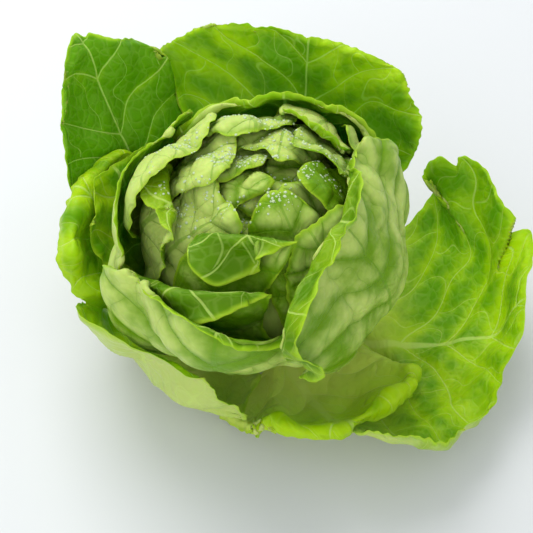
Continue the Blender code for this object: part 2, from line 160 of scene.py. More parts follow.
# The flare is how far the margin turns outwards at five places round it: low on the left,
# the left shoulder, the tip, the right shoulder and low on the right. Its depth is one number
# or one for each place. Left and right are those of someone who looks at the leaf's outer face.
HEART_LEAVES = (
    Leaf("heart_leaf_1", 292, (60, 177), 30, lobes=0.06, root=3.0),
    Leaf("heart_leaf_2", 192, (60, 186), 28, lobes=0.06, root=3.0),
    Leaf("heart_leaf_3", 144, (60, 178), 25, lobes=0.06, root=3.0),
    Leaf("heart_leaf_4", 244, (60, 172), 31, lobes=0.06, root=3.0),
    Leaf("heart_leaf_5", 84, (60, 175), 26, flare=(0, 20, 10, 10, 0), root=3.0),
    Leaf("heart_leaf_6", 30, (60, 176), 30, lobes=0.06, root=3.0),
)
CROWN_LEAVES = (
    Leaf("crown_leaf_1", 208, (56, 164), 30),
    Leaf("crown_leaf_2", 172, (56, 162), 27),
    Leaf("crown_leaf_3", 286, (56, 164), 30),
    Leaf("crown_leaf_4", 99, (56, 165), 27, flare=(0, 30, 10, 10, 0)),
    Leaf("crown_leaf_5", 45, (56, 160), 30),
    Leaf("crown_leaf_6", 232, (56, 157), 28),
    Leaf("crown_leaf_7", 136, (56, 156), 30, flare=(0, 30, 50, 20, 0), flare_depth=8),
    Leaf("crown_leaf_8", 327, (56, 179), 27, flare_radius=4, fold=(165, 27, -24)),
    Leaf("crown_leaf_9", 192, (56, 148), 30, flare=(0, 10, 20, 30, 0), flare_depth=8),
    Leaf("crown_leaf_10", 268, (56, 151), 30, flare_radius=5, fold=(130, 18, -20)),
    Leaf("crown_leaf_11", 154, (56, 144), 26, flare=(0, 50, 90, 50, 0), flare_depth=8, flare_radius=3),
    Leaf("crown_leaf_12", 238, (56, 142), 38),
)
WRAPPER_LEAVES = (
    Leaf("wrapper_leaf_far_right", 110, (34, 133), 44),
    Leaf(
        "wrapper_leaf_back", 174, (34, 132), 68,
        flare=(0, 90, 100, 80, 0), flare_depth=8, flare_radius=3,
    ),
    Leaf("wrapper_leaf_front", 320, (34, 152), 44, base=0.5, flare_radius=4, fold=(155, 25, -32)),
    Leaf(
        "wrapper_leaf_left", 252, (34, 126), 56,
        flare=(0, 60, 60, 60, 0), flare_depth=7, flare_radius=3,
    ),
    Leaf(
        "wrapper_leaf_near", 340, (33, 136), 60, widest=0.7, round=0.7, base=0.8,
        flare=(0, 10, 120, 110, 0), flare_depth=(0, 6, 10, 12, 0), flare_radius=3,
    ),
    Leaf(
        "wrapper_leaf_right", 64, (34, 167), 72, round=0.7,
        flare=(0, 110, 120, 0, 0), flare_depth=(0, 15, 18, 0, 0), flare_radius=3,
    ),
)
OUTER_LEAVES = (
    Leaf(
        "outer_leaf_near_left", 240, ((30, 26), (54, 32), (74, 48), (84, 72), (86, 86)), 40,
        cup=(70, 70), flare=(0, 20, 20, 10, 0), ruffle=1,
    ),
    Leaf(
        "outer_leaf_left", 252, ((26, 20), (50, 26), (76, 44), (90, 68), (95, 92)), 48,
        cup=(80, 70), flare=(0, 60, 110, 100, 40), flare_depth=13, flare_radius=4, shelters=True,
    ),
    Leaf(
        "outer_leaf_back_left", 225, ((22, 14), (52, 14), (86, 38), (109, 82), (127, 128)), 46,
        widest=0.4, round=1.0, cup=(100, 90), flare=(10, 20, 10, -20, 0), ruffle=2,
    ),
    Leaf(
        "outer_leaf_back", 168.5, ((21, 12), (52, 10), (82, 28), (98, 64), (108, 117)), 67,
        widest=0.75, base=0.15, cup=(100, 100), flare=(0, 20, 10, 20, 0), ruffle=2, lobes=0.02,
    ),
    Leaf(
        "outer_leaf_front_left", 307, ((22, 12), (48, 7), (68, 20), (73, 44), (66, 68)), 56,
        widest=0.5, base=0.5, cup=(60, 60),
    ),
    Leaf(
        "outer_leaf_front", 28, ((20, 9), (46, 6), (68, 14), (79, 28), (82, 44)), 56,
        widest=0.55, base=0.7, cup=(32, 110), flare=(60, 100, 120, 120, 60), flare_depth=11,
        flare_radius=4,
    ),
    Leaf(
        "outer_leaf_right", 84, ((22, 11), (52, 6), (90, 6), (114, 18), (127, 42)), 98,
        widest=0.52, round=0.75, shear=0.33, sway=4, cup=(150, 80), flare=(-70, -75, -10, 0, 0),
        flare_depth=36, flare_radius=25, ruffle=1.5,
    ),
)


def smooth_step(low, high, value):
    """0 below low, 1 above high, and smooth between them."""
    share = np.clip((value - low) / (high - low), 0.0, 1.0)
    return share * share * (3.0 - 2.0 * share)


def soft_max(first, second, softness):
    """The larger of two values, rounded off where they are nearly equal."""
    return softness * np.logaddexp(first / softness, second / softness)


def unit(vectors):
    """The vectors at length 1."""
    return vectors / np.linalg.norm(vectors, axis=-1, keepdims=True)


def leaned_axes():
    """The front and up directions of the leaning head."""
    angle = math.radians(LEAN)
    front = math.cos(angle) * FRONT - math.sin(angle) * UP
    up = math.cos(angle) * UP + math.sin(angle) * FRONT
    return front, up


def heart_radius(directions):
    """The middle's radius along each direction: an egg, round at its widest and low in height."""
    _, up = leaned_axes()
    height = directions @ up
    flat = np.sqrt(np.maximum(1.0 - height**2, 0.0))
    end = np.where(height > 0.0, HEART_TOP, HEART_BOTTOM)
    return 1.0 / np.sqrt((flat / HEART_RADIUS) ** 2 + (height / end) ** 2)


def even_directions(count):
    """Directions spread evenly over a ball, along a spiral from pole to pole."""
    turn = math.pi * (3.0 - math.sqrt(5.0))
    index = np.arange(count)
    height = 1.0 - (2.0 * index + 1.0) / count
    flat = np.sqrt(1.0 - height**2)
    return np.stack([flat * np.cos(turn * index), flat * np.sin(turn * index), height], 1)


class Pile:
    """What has been laid so far, as points with a direction and a distance from the centre."""

    def __init__(self):
        directions = even_directions(1500)
        radii = heart_radius(directions)
        self.directions = directions.astype(np.float32)
        self.radii = radii
        self.areas = 4.0 * math.pi * BALL_RADIUS**2 / len(radii) * np.ones(len(radii))
        self.waiting = []

    def add(self, points, areas, waiting):
        """Adds points. Those of a flap that shelters later leaves wait until settle is called."""
        away = points - CENTRE
        radii = np.linalg.norm(away, axis=1)
        directions = (away / radii[:, None]).astype(np.float32)
        laid = directions, radii, areas * (BALL_RADIUS / radii) ** 2
        self.put(*(values[~waiting] for values in laid))
        self.waiting.append([values[waiting] for values in laid])

    def put(self, directions, radii, areas):
        """Adds points that are ready."""
        self.directions = np.concatenate([self.directions, directions])
        self.radii = np.concatenate([self.radii, radii])
        self.areas = np.concatenate([self.areas, areas])

    def settle(self):
        """Adds the flaps that have waited."""
        for laid in self.waiting:
            self.put(*laid)
        self.waiting = []

    def reach(self, directions):
        """How far the pile reaches along each direction: a soft maximum of the nearby points."""
        top = self.radii.max()
        weights = self.areas * np.exp((self.radii - top) / PRESS_SOFTNESS)
        narrow = np.float32(2.0 * (BALL_RADIUS / SPREAD) ** 2)
        near = np.exp((directions.astype(np.float32) @ self.directions.T - 1) * narrow)
        raised = near.astype(float) @ weights
        covered = COVERED_SHARE * math.pi * SPREAD**2
        return top + PRESS_SOFTNESS * np.log(raised / covered + 1e-300)


def clear_of(pile, points, gap, floor):
    """Moves points straight out from the centre until they clear the pile, and then up to the
    floor's height."""
    away = points - CENTRE
    radii = np.linalg.norm(away, axis=1)
    directions = away / radii[:, None]
    radii = soft_max(radii, pile.reach(directions) + gap, LAY_SOFTNESS)
    points = CENTRE + directions * radii[:, None]
    points[:, 2] = soft_max(points[:, 2], floor, PRESS_SOFTNESS)
    return clear_of_stem(points)


def clear_of_stem(points):
    """Moves points level outwards until they clear the stem."""
    profile = np.array(STEM_PROFILE)
    wall = np.interp(points[:, 2], profile[:, 1], profile[:, 0], right=0.0) + STEM_GAP
    out = np.hypot(points[:, 0], points[:, 1])
    scale = np.where(out < wall, wall / np.maximum(out, 1e-6), 1.0)
    points[:, :2] *= scale[:, None]
    return points


class Sheet:
    """A leaf's smooth middle surface, before it meets the others."""

    def __init__(self, leaf):
        self.leaf = leaf
        angle = math.radians(leaf.azimuth)
        if len(leaf.rib) == 2:
            front, up = leaned_axes()
            origin = CENTRE
            self.hug = HUG
            turn = np.radians(np.linspace(leaf.rib[0], leaf.rib[1], 200))
            path = BALL_RADIUS * np.stack([np.sin(turn), -np.cos(turn)], 1)
        else:
            front, up = FRONT, UP
            origin = np.zeros(3)
            self.hug = 1.0
            path = curve_through(np.array(leaf.rib, float), 200)
        outward = math.cos(angle) * front + math.sin(angle) * RIGHT
        self.side = -math.sin(angle) * front + math.cos(angle) * RIGHT
        steps = np.linalg.norm(np.diff(path, axis=0), axis=1)
        self.along = np.concatenate([[0.0], np.cumsum(steps)])
        self.length = self.along[-1]
        self.path = origin + path[:, :1] * outward + path[:, 1:] * up
        slope = unit(np.gradient(path, self.along, axis=0))
        self.inward = -slope[:, 1:] * outward + slope[:, :1] * up
        ahead = slope[:, :1] * outward + slope[:, 1:] * up
        self.along = np.concatenate([[-OVERRUN], self.along, [self.length + OVERRUN]])
        ends = self.path[:1] - OVERRUN * ahead[:1], self.path[-1:] + OVERRUN * ahead[-1:]
        self.path = np.concatenate([ends[0], self.path, ends[1]])
        self.inward = np.concatenate([self.inward[:1], self.inward, self.inward[-1:]])

    def at(self, along, across):
        """The point at these distances along the rib and across it. Across the rib the sheet
        is an arc of the leaf's cup radius, which bends towards the head."""
        share = along / self.length
        middle = np.stack([np.interp(along, self.along, self.path[:, k]) for k in range(3)], 1)
        inward = np.stack([np.interp(along, self.along, self.inward[:, k]) for k in range(3)], 1)
        cup = np.where(across < 0.0, self.leaf.cup[0], self.leaf.cup[1])
        turn = across / cup
        sideways = cup * np.sin(turn) + self.leaf.sway * share**2
        points = middle + sideways[:, None] * self.side + (cup * (1.0 - np.cos(turn)))[:, None] * inward
        return CENTRE + self.hug * (points - CENTRE)


def curve_through(stations, count):
    """A smooth curve through the stations, as a chain of cubic pieces."""
    padded = np.concatenate([[2 * stations[0] - stations[1]], stations, [2 * stations[-1] - stations[-2]]])
    where = np.linspace(0.0, len(stations) - 1 - 1e-9, count)
    piece = where.astype(int)
    t = (where - piece)[:, None]
    before, start, end, after = (padded[piece + k] for k in range(4))
    return 0.5 * (
        2 * start
        + (end - before) * t
        + (2 * before - 5 * start + 4 * end - after) * t**2
        + (3 * start - before - 3 * end + after) * t**3
    )


def line_places(count):
    """Places of the grid lines from -1 to 1, closer together near both ends."""
    even = np.linspace(-1.0, 1.0, count)
    return 0.5 * even + 0.5 * np.sin(0.5 * math.pi * even)


def flat_outline(leaf, length, seed):
    """The flat leaf as a grid: the distances along and across of each grid point, its share of
    the way from the middle to the margin, the length of that way, its bearing from the tip and
    the flat direction towards the margin."""
    places = line_places(LINES)
    v, u = np.meshgrid(places, places, indexing="ij")
    v, u = v.ravel(), u.ravel()
    upper = v > 0.0
    x = np.where(upper, u * np.sqrt(1.0 - leaf.round * v**2 / 2.0), u)
    y = np.where(upper, v * np.sqrt(1.0 - leaf.round * u**2 / 2.0), v)
    bearing = np.where(upper, np.arctan2(x, np.maximum(y, 1e-9)), np.sign(u) * (0.5 * math.pi - v))
    share = np.where(upper, np.maximum(np.abs(u), v), np.abs(u))
    edge = np.hypot(x, y) / np.maximum(share, 1e-9)
    rng = np.random.default_rng(seed)
    wobble = sum(
        rng.uniform(0.4, 1.0) * np.sin(k * bearing + rng.uniform(0.0, 2.0 * math.pi)) for k in range(2, 8)
    )
    grow = 1.0 + leaf.lobes * wobble * share**2
    narrow = np.where(upper, 1.0, leaf.base + (1.0 - leaf.base) * smooth_step(-1.05, 0.1, v))
    foot = leaf.widest * length
    head = length - foot
    along = np.where(upper, foot + y * head * grow, foot * (1.0 + v))
    across = x * leaf.width * narrow * grow
    along = along + leaf.shear * across * smooth_step(-1.0, 0.0, v)
    reach_x = np.where(upper, edge * np.cos(bearing) * head, 0.0)
    level = np.where(u < 0.0, -1.0, 1.0) * narrow
    reach_y = leaf.width * np.where(upper, edge * np.sin(bearing), level)
    ray = np.hypot(reach_x, reach_y)
    return along, across, share, ray, bearing, (reach_x / ray, reach_y / ray)


def smooth_noise(rng, x, y, wavelength):
    """A soft random surface between about -1 and 1: six plane waves of near wavelengths."""
    total = np.zeros_like(x)
    for _ in range(6):
        turn = rng.uniform(0.0, 2.0 * math.pi)
        length = wavelength * rng.uniform(0.7, 1.5)
        phase = rng.uniform(0.0, 2.0 * math.pi)
        total += np.cos(2.0 * math.pi * (x * math.cos(turn) + y * math.sin(turn)) / length + phase)
    return total / 3.0


def grid_normals(points):
    """The outward direction at each point of a grid of points. The two corners beside the tip
    take that of their neighbour, as both grid lines run along the margin there."""
    along = np.gradient(points, axis=0)
    across = np.gradient(points, axis=1)
    normals = unit(np.cross(across, along))
    normals[-1, 0] = normals[-2, 1]
    normals[-1, -1] = normals[-2, -2]
    return normals


def grid_areas(points):
    """The area that each point of a grid stands for."""
    along = np.gradient(points, axis=0)
    across = np.gradient(points, axis=1)
    return np.linalg.norm(np.cross(across, along), axis=-1)


def flare_turn(leaf, bearing):
    """How far the margin turns outwards at each bearing from the tip."""
    stations = np.radians(FLARE_BEARINGS)
    return np.radians(np.interp(bearing, stations, leaf.flare))


def fold_share(leaf, ray, bearing):
    """Where on the way from the middle to the margin the flare's fold line is. A slight flare
    is shallow too."""
    depths = np.broadcast_to(leaf.flare_depth, len(FLARE_BEARINGS))
    depth = np.interp(bearing, np.radians(FLARE_BEARINGS), depths)
    depth = depth * np.clip(np.abs(flare_turn(leaf, bearing)) / HANGING_TURN, 0.0, 1.0)
    return np.clip(1.0 - depth / ray, 1.0 - LARGEST_FLARE, 1.0)


def turned_part(leaf, length, along, across, share, ray, bearing, heading):
    """What turns outwards: each point's turn, its distance beyond the fold line and the flat
    direction of that distance. A flare's line runs along the margin. A fold's is straight."""
    if leaf.fold:
        turn, depth, skew = leaf.fold
        dx, dy = math.cos(math.radians(skew)), math.sin(math.radians(skew))
        beyond = np.maximum((along - length + depth) * dx + across * dy, 0.0)
        heading = np.full_like(along, dx), np.full_like(along, dy)
        return np.full_like(along, math.radians(turn)), beyond, heading
    beyond = np.maximum(share - fold_share(leaf, ray, bearing), 0.0) * ray
    return flare_turn(leaf, bearing), beyond, heading


def flared(leaf, surface, along, across, share, bearing, turned, rng):
    """Rolls the margin outwards: past the fold line a point follows a small arc round it and
    then runs on straight."""
    turn, beyond, (dx, dy) = turned
    turn = turn * (1.0 + FLARE_UNEVENNESS * smooth_noise(rng, bearing, share, 1.0))
    fold_along, fold_across = along - beyond * dx, across - beyond * dy
    at_fold = surface(fold_along, fold_across)
    lengthwise = surface(fold_along + 1.0, fold_across) - at_fold
    crosswise = surface(fold_along, fold_across + 1.0) - at_fold
    forward = unit(dx[:, None] * lengthwise + dy[:, None] * crosswise)
    outward = unit(np.cross(crosswise, lengthwise))
    sign = np.sign(turn)
    turn = np.maximum(np.abs(turn), 1e-3)
    radius = leaf.flare_radius
    arc = np.minimum(beyond / radius, turn)
    rest = beyond - arc * radius
    go = radius * np.sin(arc) + rest * np.cos(arc)
    rise = (radius * (1.0 - np.cos(arc)) + rest * np.sin(arc)) * sign
    return at_fold + go[:, None] * forward + rise[:, None] * outward


def leaf_grid(leaf, seed, pile):
    """The leaf's inner face as a grid of points, laid on the pile."""
    sheet = Sheet(leaf)
    rng = np.random.default_rng(seed)
    along, across, share, ray, bearing, heading = flat_outline(leaf, sheet.length, seed)

    floor = FLOOR_CLEARANCE + thickness(along, across, sheet.length)
    gap = LEAF_GAP - (leaf.root + LEAF_GAP) * (1.0 - smooth_step(0.1, 0.3, along / sheet.length))
    gap = gap if leaf.root else LEAF_GAP

    def surface(a, b):
        return clear_of(pile, sheet.at(a, b), gap, floor)

    turned = turned_part(leaf, sheet.length, along, across, share, ray, bearing, heading)
    turn, beyond, _ = turned
    points = flared(leaf, surface, along, across, share, bearing, turned, rng)
    grid = points.reshape(LINES, LINES, 3)
    normals = grid_normals(grid).reshape(-1, 3)
    puckers = 0.5 + 0.5 * smooth_noise(rng, along, across, PUCKER_LENGTH)
    edge = smooth_step(RUFFLE_FROM, 1.0, share)
    first, second = rng.uniform(0.0, 2.0 * math.pi, 2)
    waves = np.sin(leaf.waves * bearing + first)
    waves = waves + SECOND_WAVE_HEIGHT * np.sin(SECOND_WAVE * leaf.waves * bearing + second)
    ease = smooth_step(0.0, 0.25, along / sheet.length)
    ruffle = leaf.lift + leaf.ruffle * (MEAN_RUFFLE + waves)
    raised = ease * (leaf.crumple * puckers + edge * ruffle)
    points = clear_of(pile, points + raised[:, None] * normals, gap, floor)
    hanging = (beyond > 0.0) & (turn > HANGING_TURN)
    return points.reshape(LINES, LINES, 3), along, across, sheet.length, hanging


def thickness(along, across, length):
    """The blade's thickness, with the rib standing out of its outer face near the base."""
    rib = np.exp(-((across / RIB_HALF_WIDTH) ** 2)) * (1.0 - along / length) ** 2
    return BLADE + RIB_THICK * rib


# The fine grid of each group of leaves, as lines along and across.
FINE_LINES = {"heart": 49, "crown": 69, "wrapper": 97, "outer": 121}

# The veins: distance between the side veins of each group, and between the rungs that join them
# as a share of it, how far a side vein climbs towards the tip for its distance from the rib, and
# how much both wander.
VEIN_SPACING = {"heart": 15.0, "crown": 16.0, "wrapper": 23.0, "outer": 24.0}
RUNG_SHARE = 0.85
VEIN_CLIMB = 0.95
VEIN_BEND = 0.35
VEIN_WANDER = 5.0
VEIN_WANDER_LENGTH = 45.0
RUNG_WANDER = 0.35
RUNG_WANDER_LENGTH = 24.0

# First numbers of the random draws, and the two that scatter the rungs' beginnings.
VEIN_SEED = 1000
RELIEF_SEED = 2000
STEM_SEED = 7
DROP_PLACE_SEED = 11
DROP_SIZE_SEED = 12
SCATTER_STEP = 12.9898
SCATTER_SIZE = 43758.5453

# How far a grid point stands out of its neighbours where smoothing starts and is whole.
SPIKE = (1.0, 1.8)
MARGIN_SPIKE = (2.0, 3.5)

# How the blade swells: sharpness, the rungs' part of it, the share of the length over which it
# grows from the base, how far from the margin it is whole, and its part on a folded leaf.
SWELL_POWER = 0.7
RUNG_SWELL = 0.45
SWELL_GROWS = (0.05, 0.3)
SWELL_MARGIN = 6.0
FOLDED_SWELL = 0.35

# The blade's thickness at the margin as a share, and how far in it is whole.
MARGIN_BLADE = 0.35
BLADE_MARGIN = 3.0

# The finest relief, the wide waves of an outer leaf's free part and the small ones of the margin.
CRINKLE_LENGTH = 7.0
WAVE_LENGTH = 34.0
WAVES_GROW = (0.3, 0.6)
RIPPLE_DEPTH = 6.0
RIPPLE_LENGTH = 9.0
NIBBLE_LENGTH = 5.0
NIBBLE = 0.5
NIBBLE_SLANT = 0.3

# Tears in a margin: bearing round the leaf in degrees, depth and half width. A notch is drawn
# towards the leaf's middle and a slit towards its base. Both fade within their depth times the
# reach. Shorter headings and grid steps count as this long, so that nothing is divided by nought.
NOTCHES = {
    "outer_leaf_right": ((60.0, 8.0, 5.0), (-31.0, 3.0, 2.5)),
    "outer_leaf_back_left": ((20.0, 6.0, 14.0), (-4.0, 2.5, 2.0)),
}
SLITS = {"outer_leaf_right": ((24.0, 12.0, 2.3),)}
TEAR_REACH = 2.5
SHORTEST_HEADING = 0.3
SHORTEST_PITCH = 0.3

# How pale a leaf is, from 0 to 1, where it isn't middling.
PALENESS = {
    "outer_leaf_left": 0.8,
    "outer_leaf_back_left": 0.0,
    "outer_leaf_back": 0.5,
    "outer_leaf_right": 0.5,
    "heart_leaf_3": 0.3,
    "heart_leaf_4": 0.3,
    "heart_leaf_6": 0.25,
    "crown_leaf_3": 0.8,
    "crown_leaf_4": 0.0,
    "crown_leaf_5": 0.3,
    "crown_leaf_6": 0.95,
    "crown_leaf_8": 0.2,
    "crown_leaf_10": 0.9,
    "crown_leaf_11": 1.0,
    "crown_leaf_12": 1.0,
    "wrapper_leaf_left": 0.7,
    "wrapper_leaf_near": 0.35,
    "wrapper_leaf_right": 0.45,
    "wrapper_leaf_front": 0.2,
    "outer_leaf_front_left": 1.0,
    "outer_leaf_front": 0.9,
}
MIDDLING = 0.5

# The core: how far it lies inside the heart, and what it tells the leaf finish.
CORE_GAP = 0.4
CORE_FIELDS = (
    (("along", "across", "rim", "underside", "spacing"), 50.0),
    (("lateral", "rung", "swell", "pale"), 0.5),
)

# The fine butt: the rings of its cut face and its top as (radius, height), and its bumps.
CUT_FACE = ((0.0, 0.3), (4.0, 0.2), (8.0, 0.0), (11.0, 0.5), (13.0, 0.0))
STEM_TOP = ((9.0, 32.0), (0.0, 32.0))
STEM_RINGS = 40
FINE_STEM_SIDES = 72
BUMP_ROUND = 15.0
BUMP_LENGTH = 9.0
BUMP_HEIGHT = 0.35
BUMPS_GROW = (1.0, 6.0)

# Water drops, and the oval of the crown that they lie in.
DROP_RINGS = 4
DROP_SIDES = 8
DROP_HEIGHT = 0.62
WET_CENTRE = (-8.0, 4.0)
WET_HALF = (50.0, 40.0)

# Where drops lie: tries for each, how long and uneven their clumps are, how readily a try counts,
# the steepest place as the upright part of its normal, and the height that the rays start from.
DROP_TRIES = 12
CLUMP_LENGTH = 22.0
CLUMP_NOISE = 0.25
CLUMP_SHARE = 0.45
CLUMP_LIMIT = 0.6
STEEPEST = 0.5
RAIN_HEIGHT = 0.2
SMALLEST_DROP = 0.45
NO_NORMAL = (0.31, 0.17, 0.93)


class Laid(NamedTuple):
    """A leaf as it was laid: its coarse inner face and what each grid point is."""

    leaf: Leaf
    seed: int
    group: str
    inner: np.ndarray
    flat: np.ndarray
    length: float


@functools.lru_cache(maxsize=None)
def laid_leaves():
    """Lays every leaf in order of growth, as the CAD part does."""
    pile = Pile()
    laid = []
    seed = 0
    groups = {"heart": HEART_LEAVES, "crown": CROWN_LEAVES, "wrapper": WRAPPER_LEAVES, "outer": OUTER_LEAVES}
    for group, leaves in groups.items():
        for leaf in leaves:
            seed += 1
            grid, along, across, length, hanging = leaf_grid(leaf, seed, pile)
            thick = thickness(along, across, length).reshape(LINES, LINES, 1)
            outer = grid + grid_normals(grid) * thick
            pile.add(outer.reshape(-1, 3), grid_areas(grid).ravel(), hanging & leaf.shelters)
            flat = np.stack([along, across, *margin_fields(leaf, length, seed)], 1)
            laid.append(Laid(leaf, seed, group, grid, flat.reshape(LINES, LINES, -1), length))
        pile.settle()
    return laid


def margin_fields(leaf, length, seed):
    """For each coarse grid point: how far it is from the margin, its heading towards the margin
    and its bearing as an arc length."""
    _, _, share, ray, bearing, (dx, dy) = flat_outline(leaf, length, seed)
    return (1.0 - share) * ray, dx, dy, bearing * leaf.width


def spline_rows(count, lines):
    """Weights that turn values on the coarse lines into values on finer ones: each is a cubic
    through the four nearest lines."""
    where = np.linspace(0.0, lines - 1, count)
    start = np.minimum(where.astype(int), lines - 2)
    t = where - start
    weights = np.stack(
        [
            0.5 * (-t + 2 * t**2 - t**3),
            0.5 * (2 - 5 * t**2 + 3 * t**3),
            0.5 * (t + 4 * t**2 - 3 * t**3),
            0.5 * (t**3 - t**2),
        ],
        1,
    )
    rows = np.zeros((count, lines + 2))
    index = np.arange(count)
    for k in range(4):
        rows[index, start + k] += weights[:, k]
    rows[:, 1] += 2.0 * rows[:, 0]
    rows[:, 2] -= rows[:, 0]
    rows[:, -2] += 2.0 * rows[:, -1]
    rows[:, -3] -= rows[:, -1]
    return rows[:, 1:-1]


def refined(grid, count):
    """The coarse grid's values on a grid of count by count lines."""
    rows = spline_rows(count, grid.shape[0])
    return np.einsum("ai,ijk,bj->abk", rows, grid, rows)


def without_spikes(grid):
    """The grid with each inner point that stands out both along its row and along its column
    moved to the middle of its neighbours. A fold's line stands out in one way only and stays.
    Points of the margin that stand out along it are moved likewise."""
    grid = grid.copy()
    for _ in range(3):
        middle = grid[1:-1, 1:-1]
        beside = (grid[1:-1, :-2] + grid[1:-1, 2:]) / 2.0
        before = (grid[:-2, 1:-1] + grid[2:, 1:-1]) / 2.0
        out = np.minimum(np.linalg.norm(middle - beside, axis=2), np.linalg.norm(middle - before, axis=2))
        share = smooth_step(*SPIKE, out)[..., None]
        middle += share * ((beside + before) / 2.0 - middle)
        for edge in (grid[0], grid[-1], grid[:, 0], grid[:, -1]):
            between = (edge[:-2] + edge[2:]) / 2.0
            share = smooth_step(*MARGIN_SPIKE, np.linalg.norm(edge[1:-1] - between, axis=1))[:, None]
            edge[1:-1] += share * (between - edge[1:-1])
    return grid


def flat_tangents(points, along, across):
    """How a point moves for one millimetre along and one across the flat leaf, from the grid's
    own differences and the inverse of their two by two matrix."""
    step_v, step_u = np.gradient(points, axis=0), np.gradient(points, axis=1)
    a_v, a_u = np.gradient(along, axis=0), np.gradient(along, axis=1)
    b_v, b_u = np.gradient(across, axis=0), np.gradient(across, axis=1)
    size = a_v * b_u - a_u * b_v
    size = np.where(np.abs(size) < 1e-4, 1e-4, size)[..., None]
    lengthwise = (b_u[..., None] * step_v - b_v[..., None] * step_u) / size
    crosswise = (a_v[..., None] * step_u - a_u[..., None] * step_v) / size
    return lengthwise, crosswise


def scattered(number, seed):
    """A value from 0 to 1 for each whole number, which looks random: what a large sine leaves
    behind its point."""
    return np.mod(np.sin(number * SCATTER_STEP + seed) * SCATTER_SIZE, 1.0)


def vein_fields(laid, along, across):
    """The vein pattern: a side vein runs where the first value is whole and a rung where the
    second is. The first grows along the leaf and falls away from the rib, so that its whole
    values are curves that climb from the rib to the margin. The second grows away from the rib
    and starts anew between each two side veins."""
    rng = np.random.default_rng(VEIN_SEED + laid.seed)
    spacing = VEIN_SPACING[laid.group]
    side = np.abs(across)
    climb = side * (VEIN_CLIMB - VEIN_BEND * side / laid.leaf.width)
    wander = VEIN_WANDER * smooth_noise(rng, along, across, VEIN_WANDER_LENGTH)
    lateral = (along - climb + wander) / spacing
    start = scattered(np.floor(lateral), laid.seed)
    wander = RUNG_WANDER * smooth_noise(rng, along, across, RUNG_WANDER_LENGTH)
    rung = side / (spacing * RUNG_SHARE) + start + wander
    return lateral, rung


def torn(leaf, tears, arc, rim):
    """How far points move inwards at the leaf's tears: a narrow bell along the margin, less and
    less further in."""
    inwards = np.zeros_like(arc)
    for bearing, depth, half in tears.get(leaf.name, ()):
        bell = np.exp(-(((arc - math.radians(bearing) * leaf.width) / half) ** 2))
        inwards = inwards + depth * bell * np.maximum(1.0 - rim / (TEAR_REACH * depth), 0.0)
    return inwards


def drawn_in(grid, inwards):
    """The grid with each point drawn towards the base along its own column, on the blade, by a
    length in mm."""
    pitch = np.maximum(np.linalg.norm(np.gradient(grid, axis=0), axis=2), SHORTEST_PITCH)
    place = np.maximum(np.arange(grid.shape[0])[:, None] - inwards / pitch, 0.0)
    lower = np.minimum(place.astype(int), grid.shape[0] - 2)
    columns = np.arange(grid.shape[1])[None, :]
    share = (place - lower)[..., None]
    return grid[lower, columns] * (1.0 - share) + grid[lower + 1, columns] * share


def blade_swell(laid, along, rim, lateral, rung):
    """How far the blade swells between its veins, from 0 to 1: the root of two sines, one of
    each vein value, less near the base and the margin."""
    swell = np.abs(np.sin(math.pi * lateral)) ** SWELL_POWER
    swell = swell * (1.0 - RUNG_SWELL + RUNG_SWELL * np.abs(np.sin(math.pi * rung)) ** SWELL_POWER)
    return swell * smooth_step(*SWELL_GROWS, along / laid.length) * smooth_step(0.0, SWELL_MARGIN, rim)


def relief(laid, sizes, rng, along, across, rim, arc, swell):
    """The height of the fine relief: the swell, ripples near the margin, crinkles everywhere and
    the wide waves of an outer leaf, whose inner face is the one that sinks between the veins."""
    side = -1.0 if laid.group == "outer" else FOLDED_SWELL if laid.leaf.fold else 1.0
    ripple = np.exp(-rim / RIPPLE_DEPTH) * smooth_noise(rng, arc, rim, RIPPLE_LENGTH)
    crinkle = smooth_noise(rng, along, across, CRINKLE_LENGTH)
    height = side * sizes.pucker_height * swell
    height = height + sizes.ripple_height * ripple + sizes.crinkle_height * crinkle
    if laid.group == "outer":
        free = smooth_step(*WAVES_GROW, along / laid.length)
        height = height + sizes.wave_height * free * smooth_noise(rng, along, across, WAVE_LENGTH)
    return height / MM


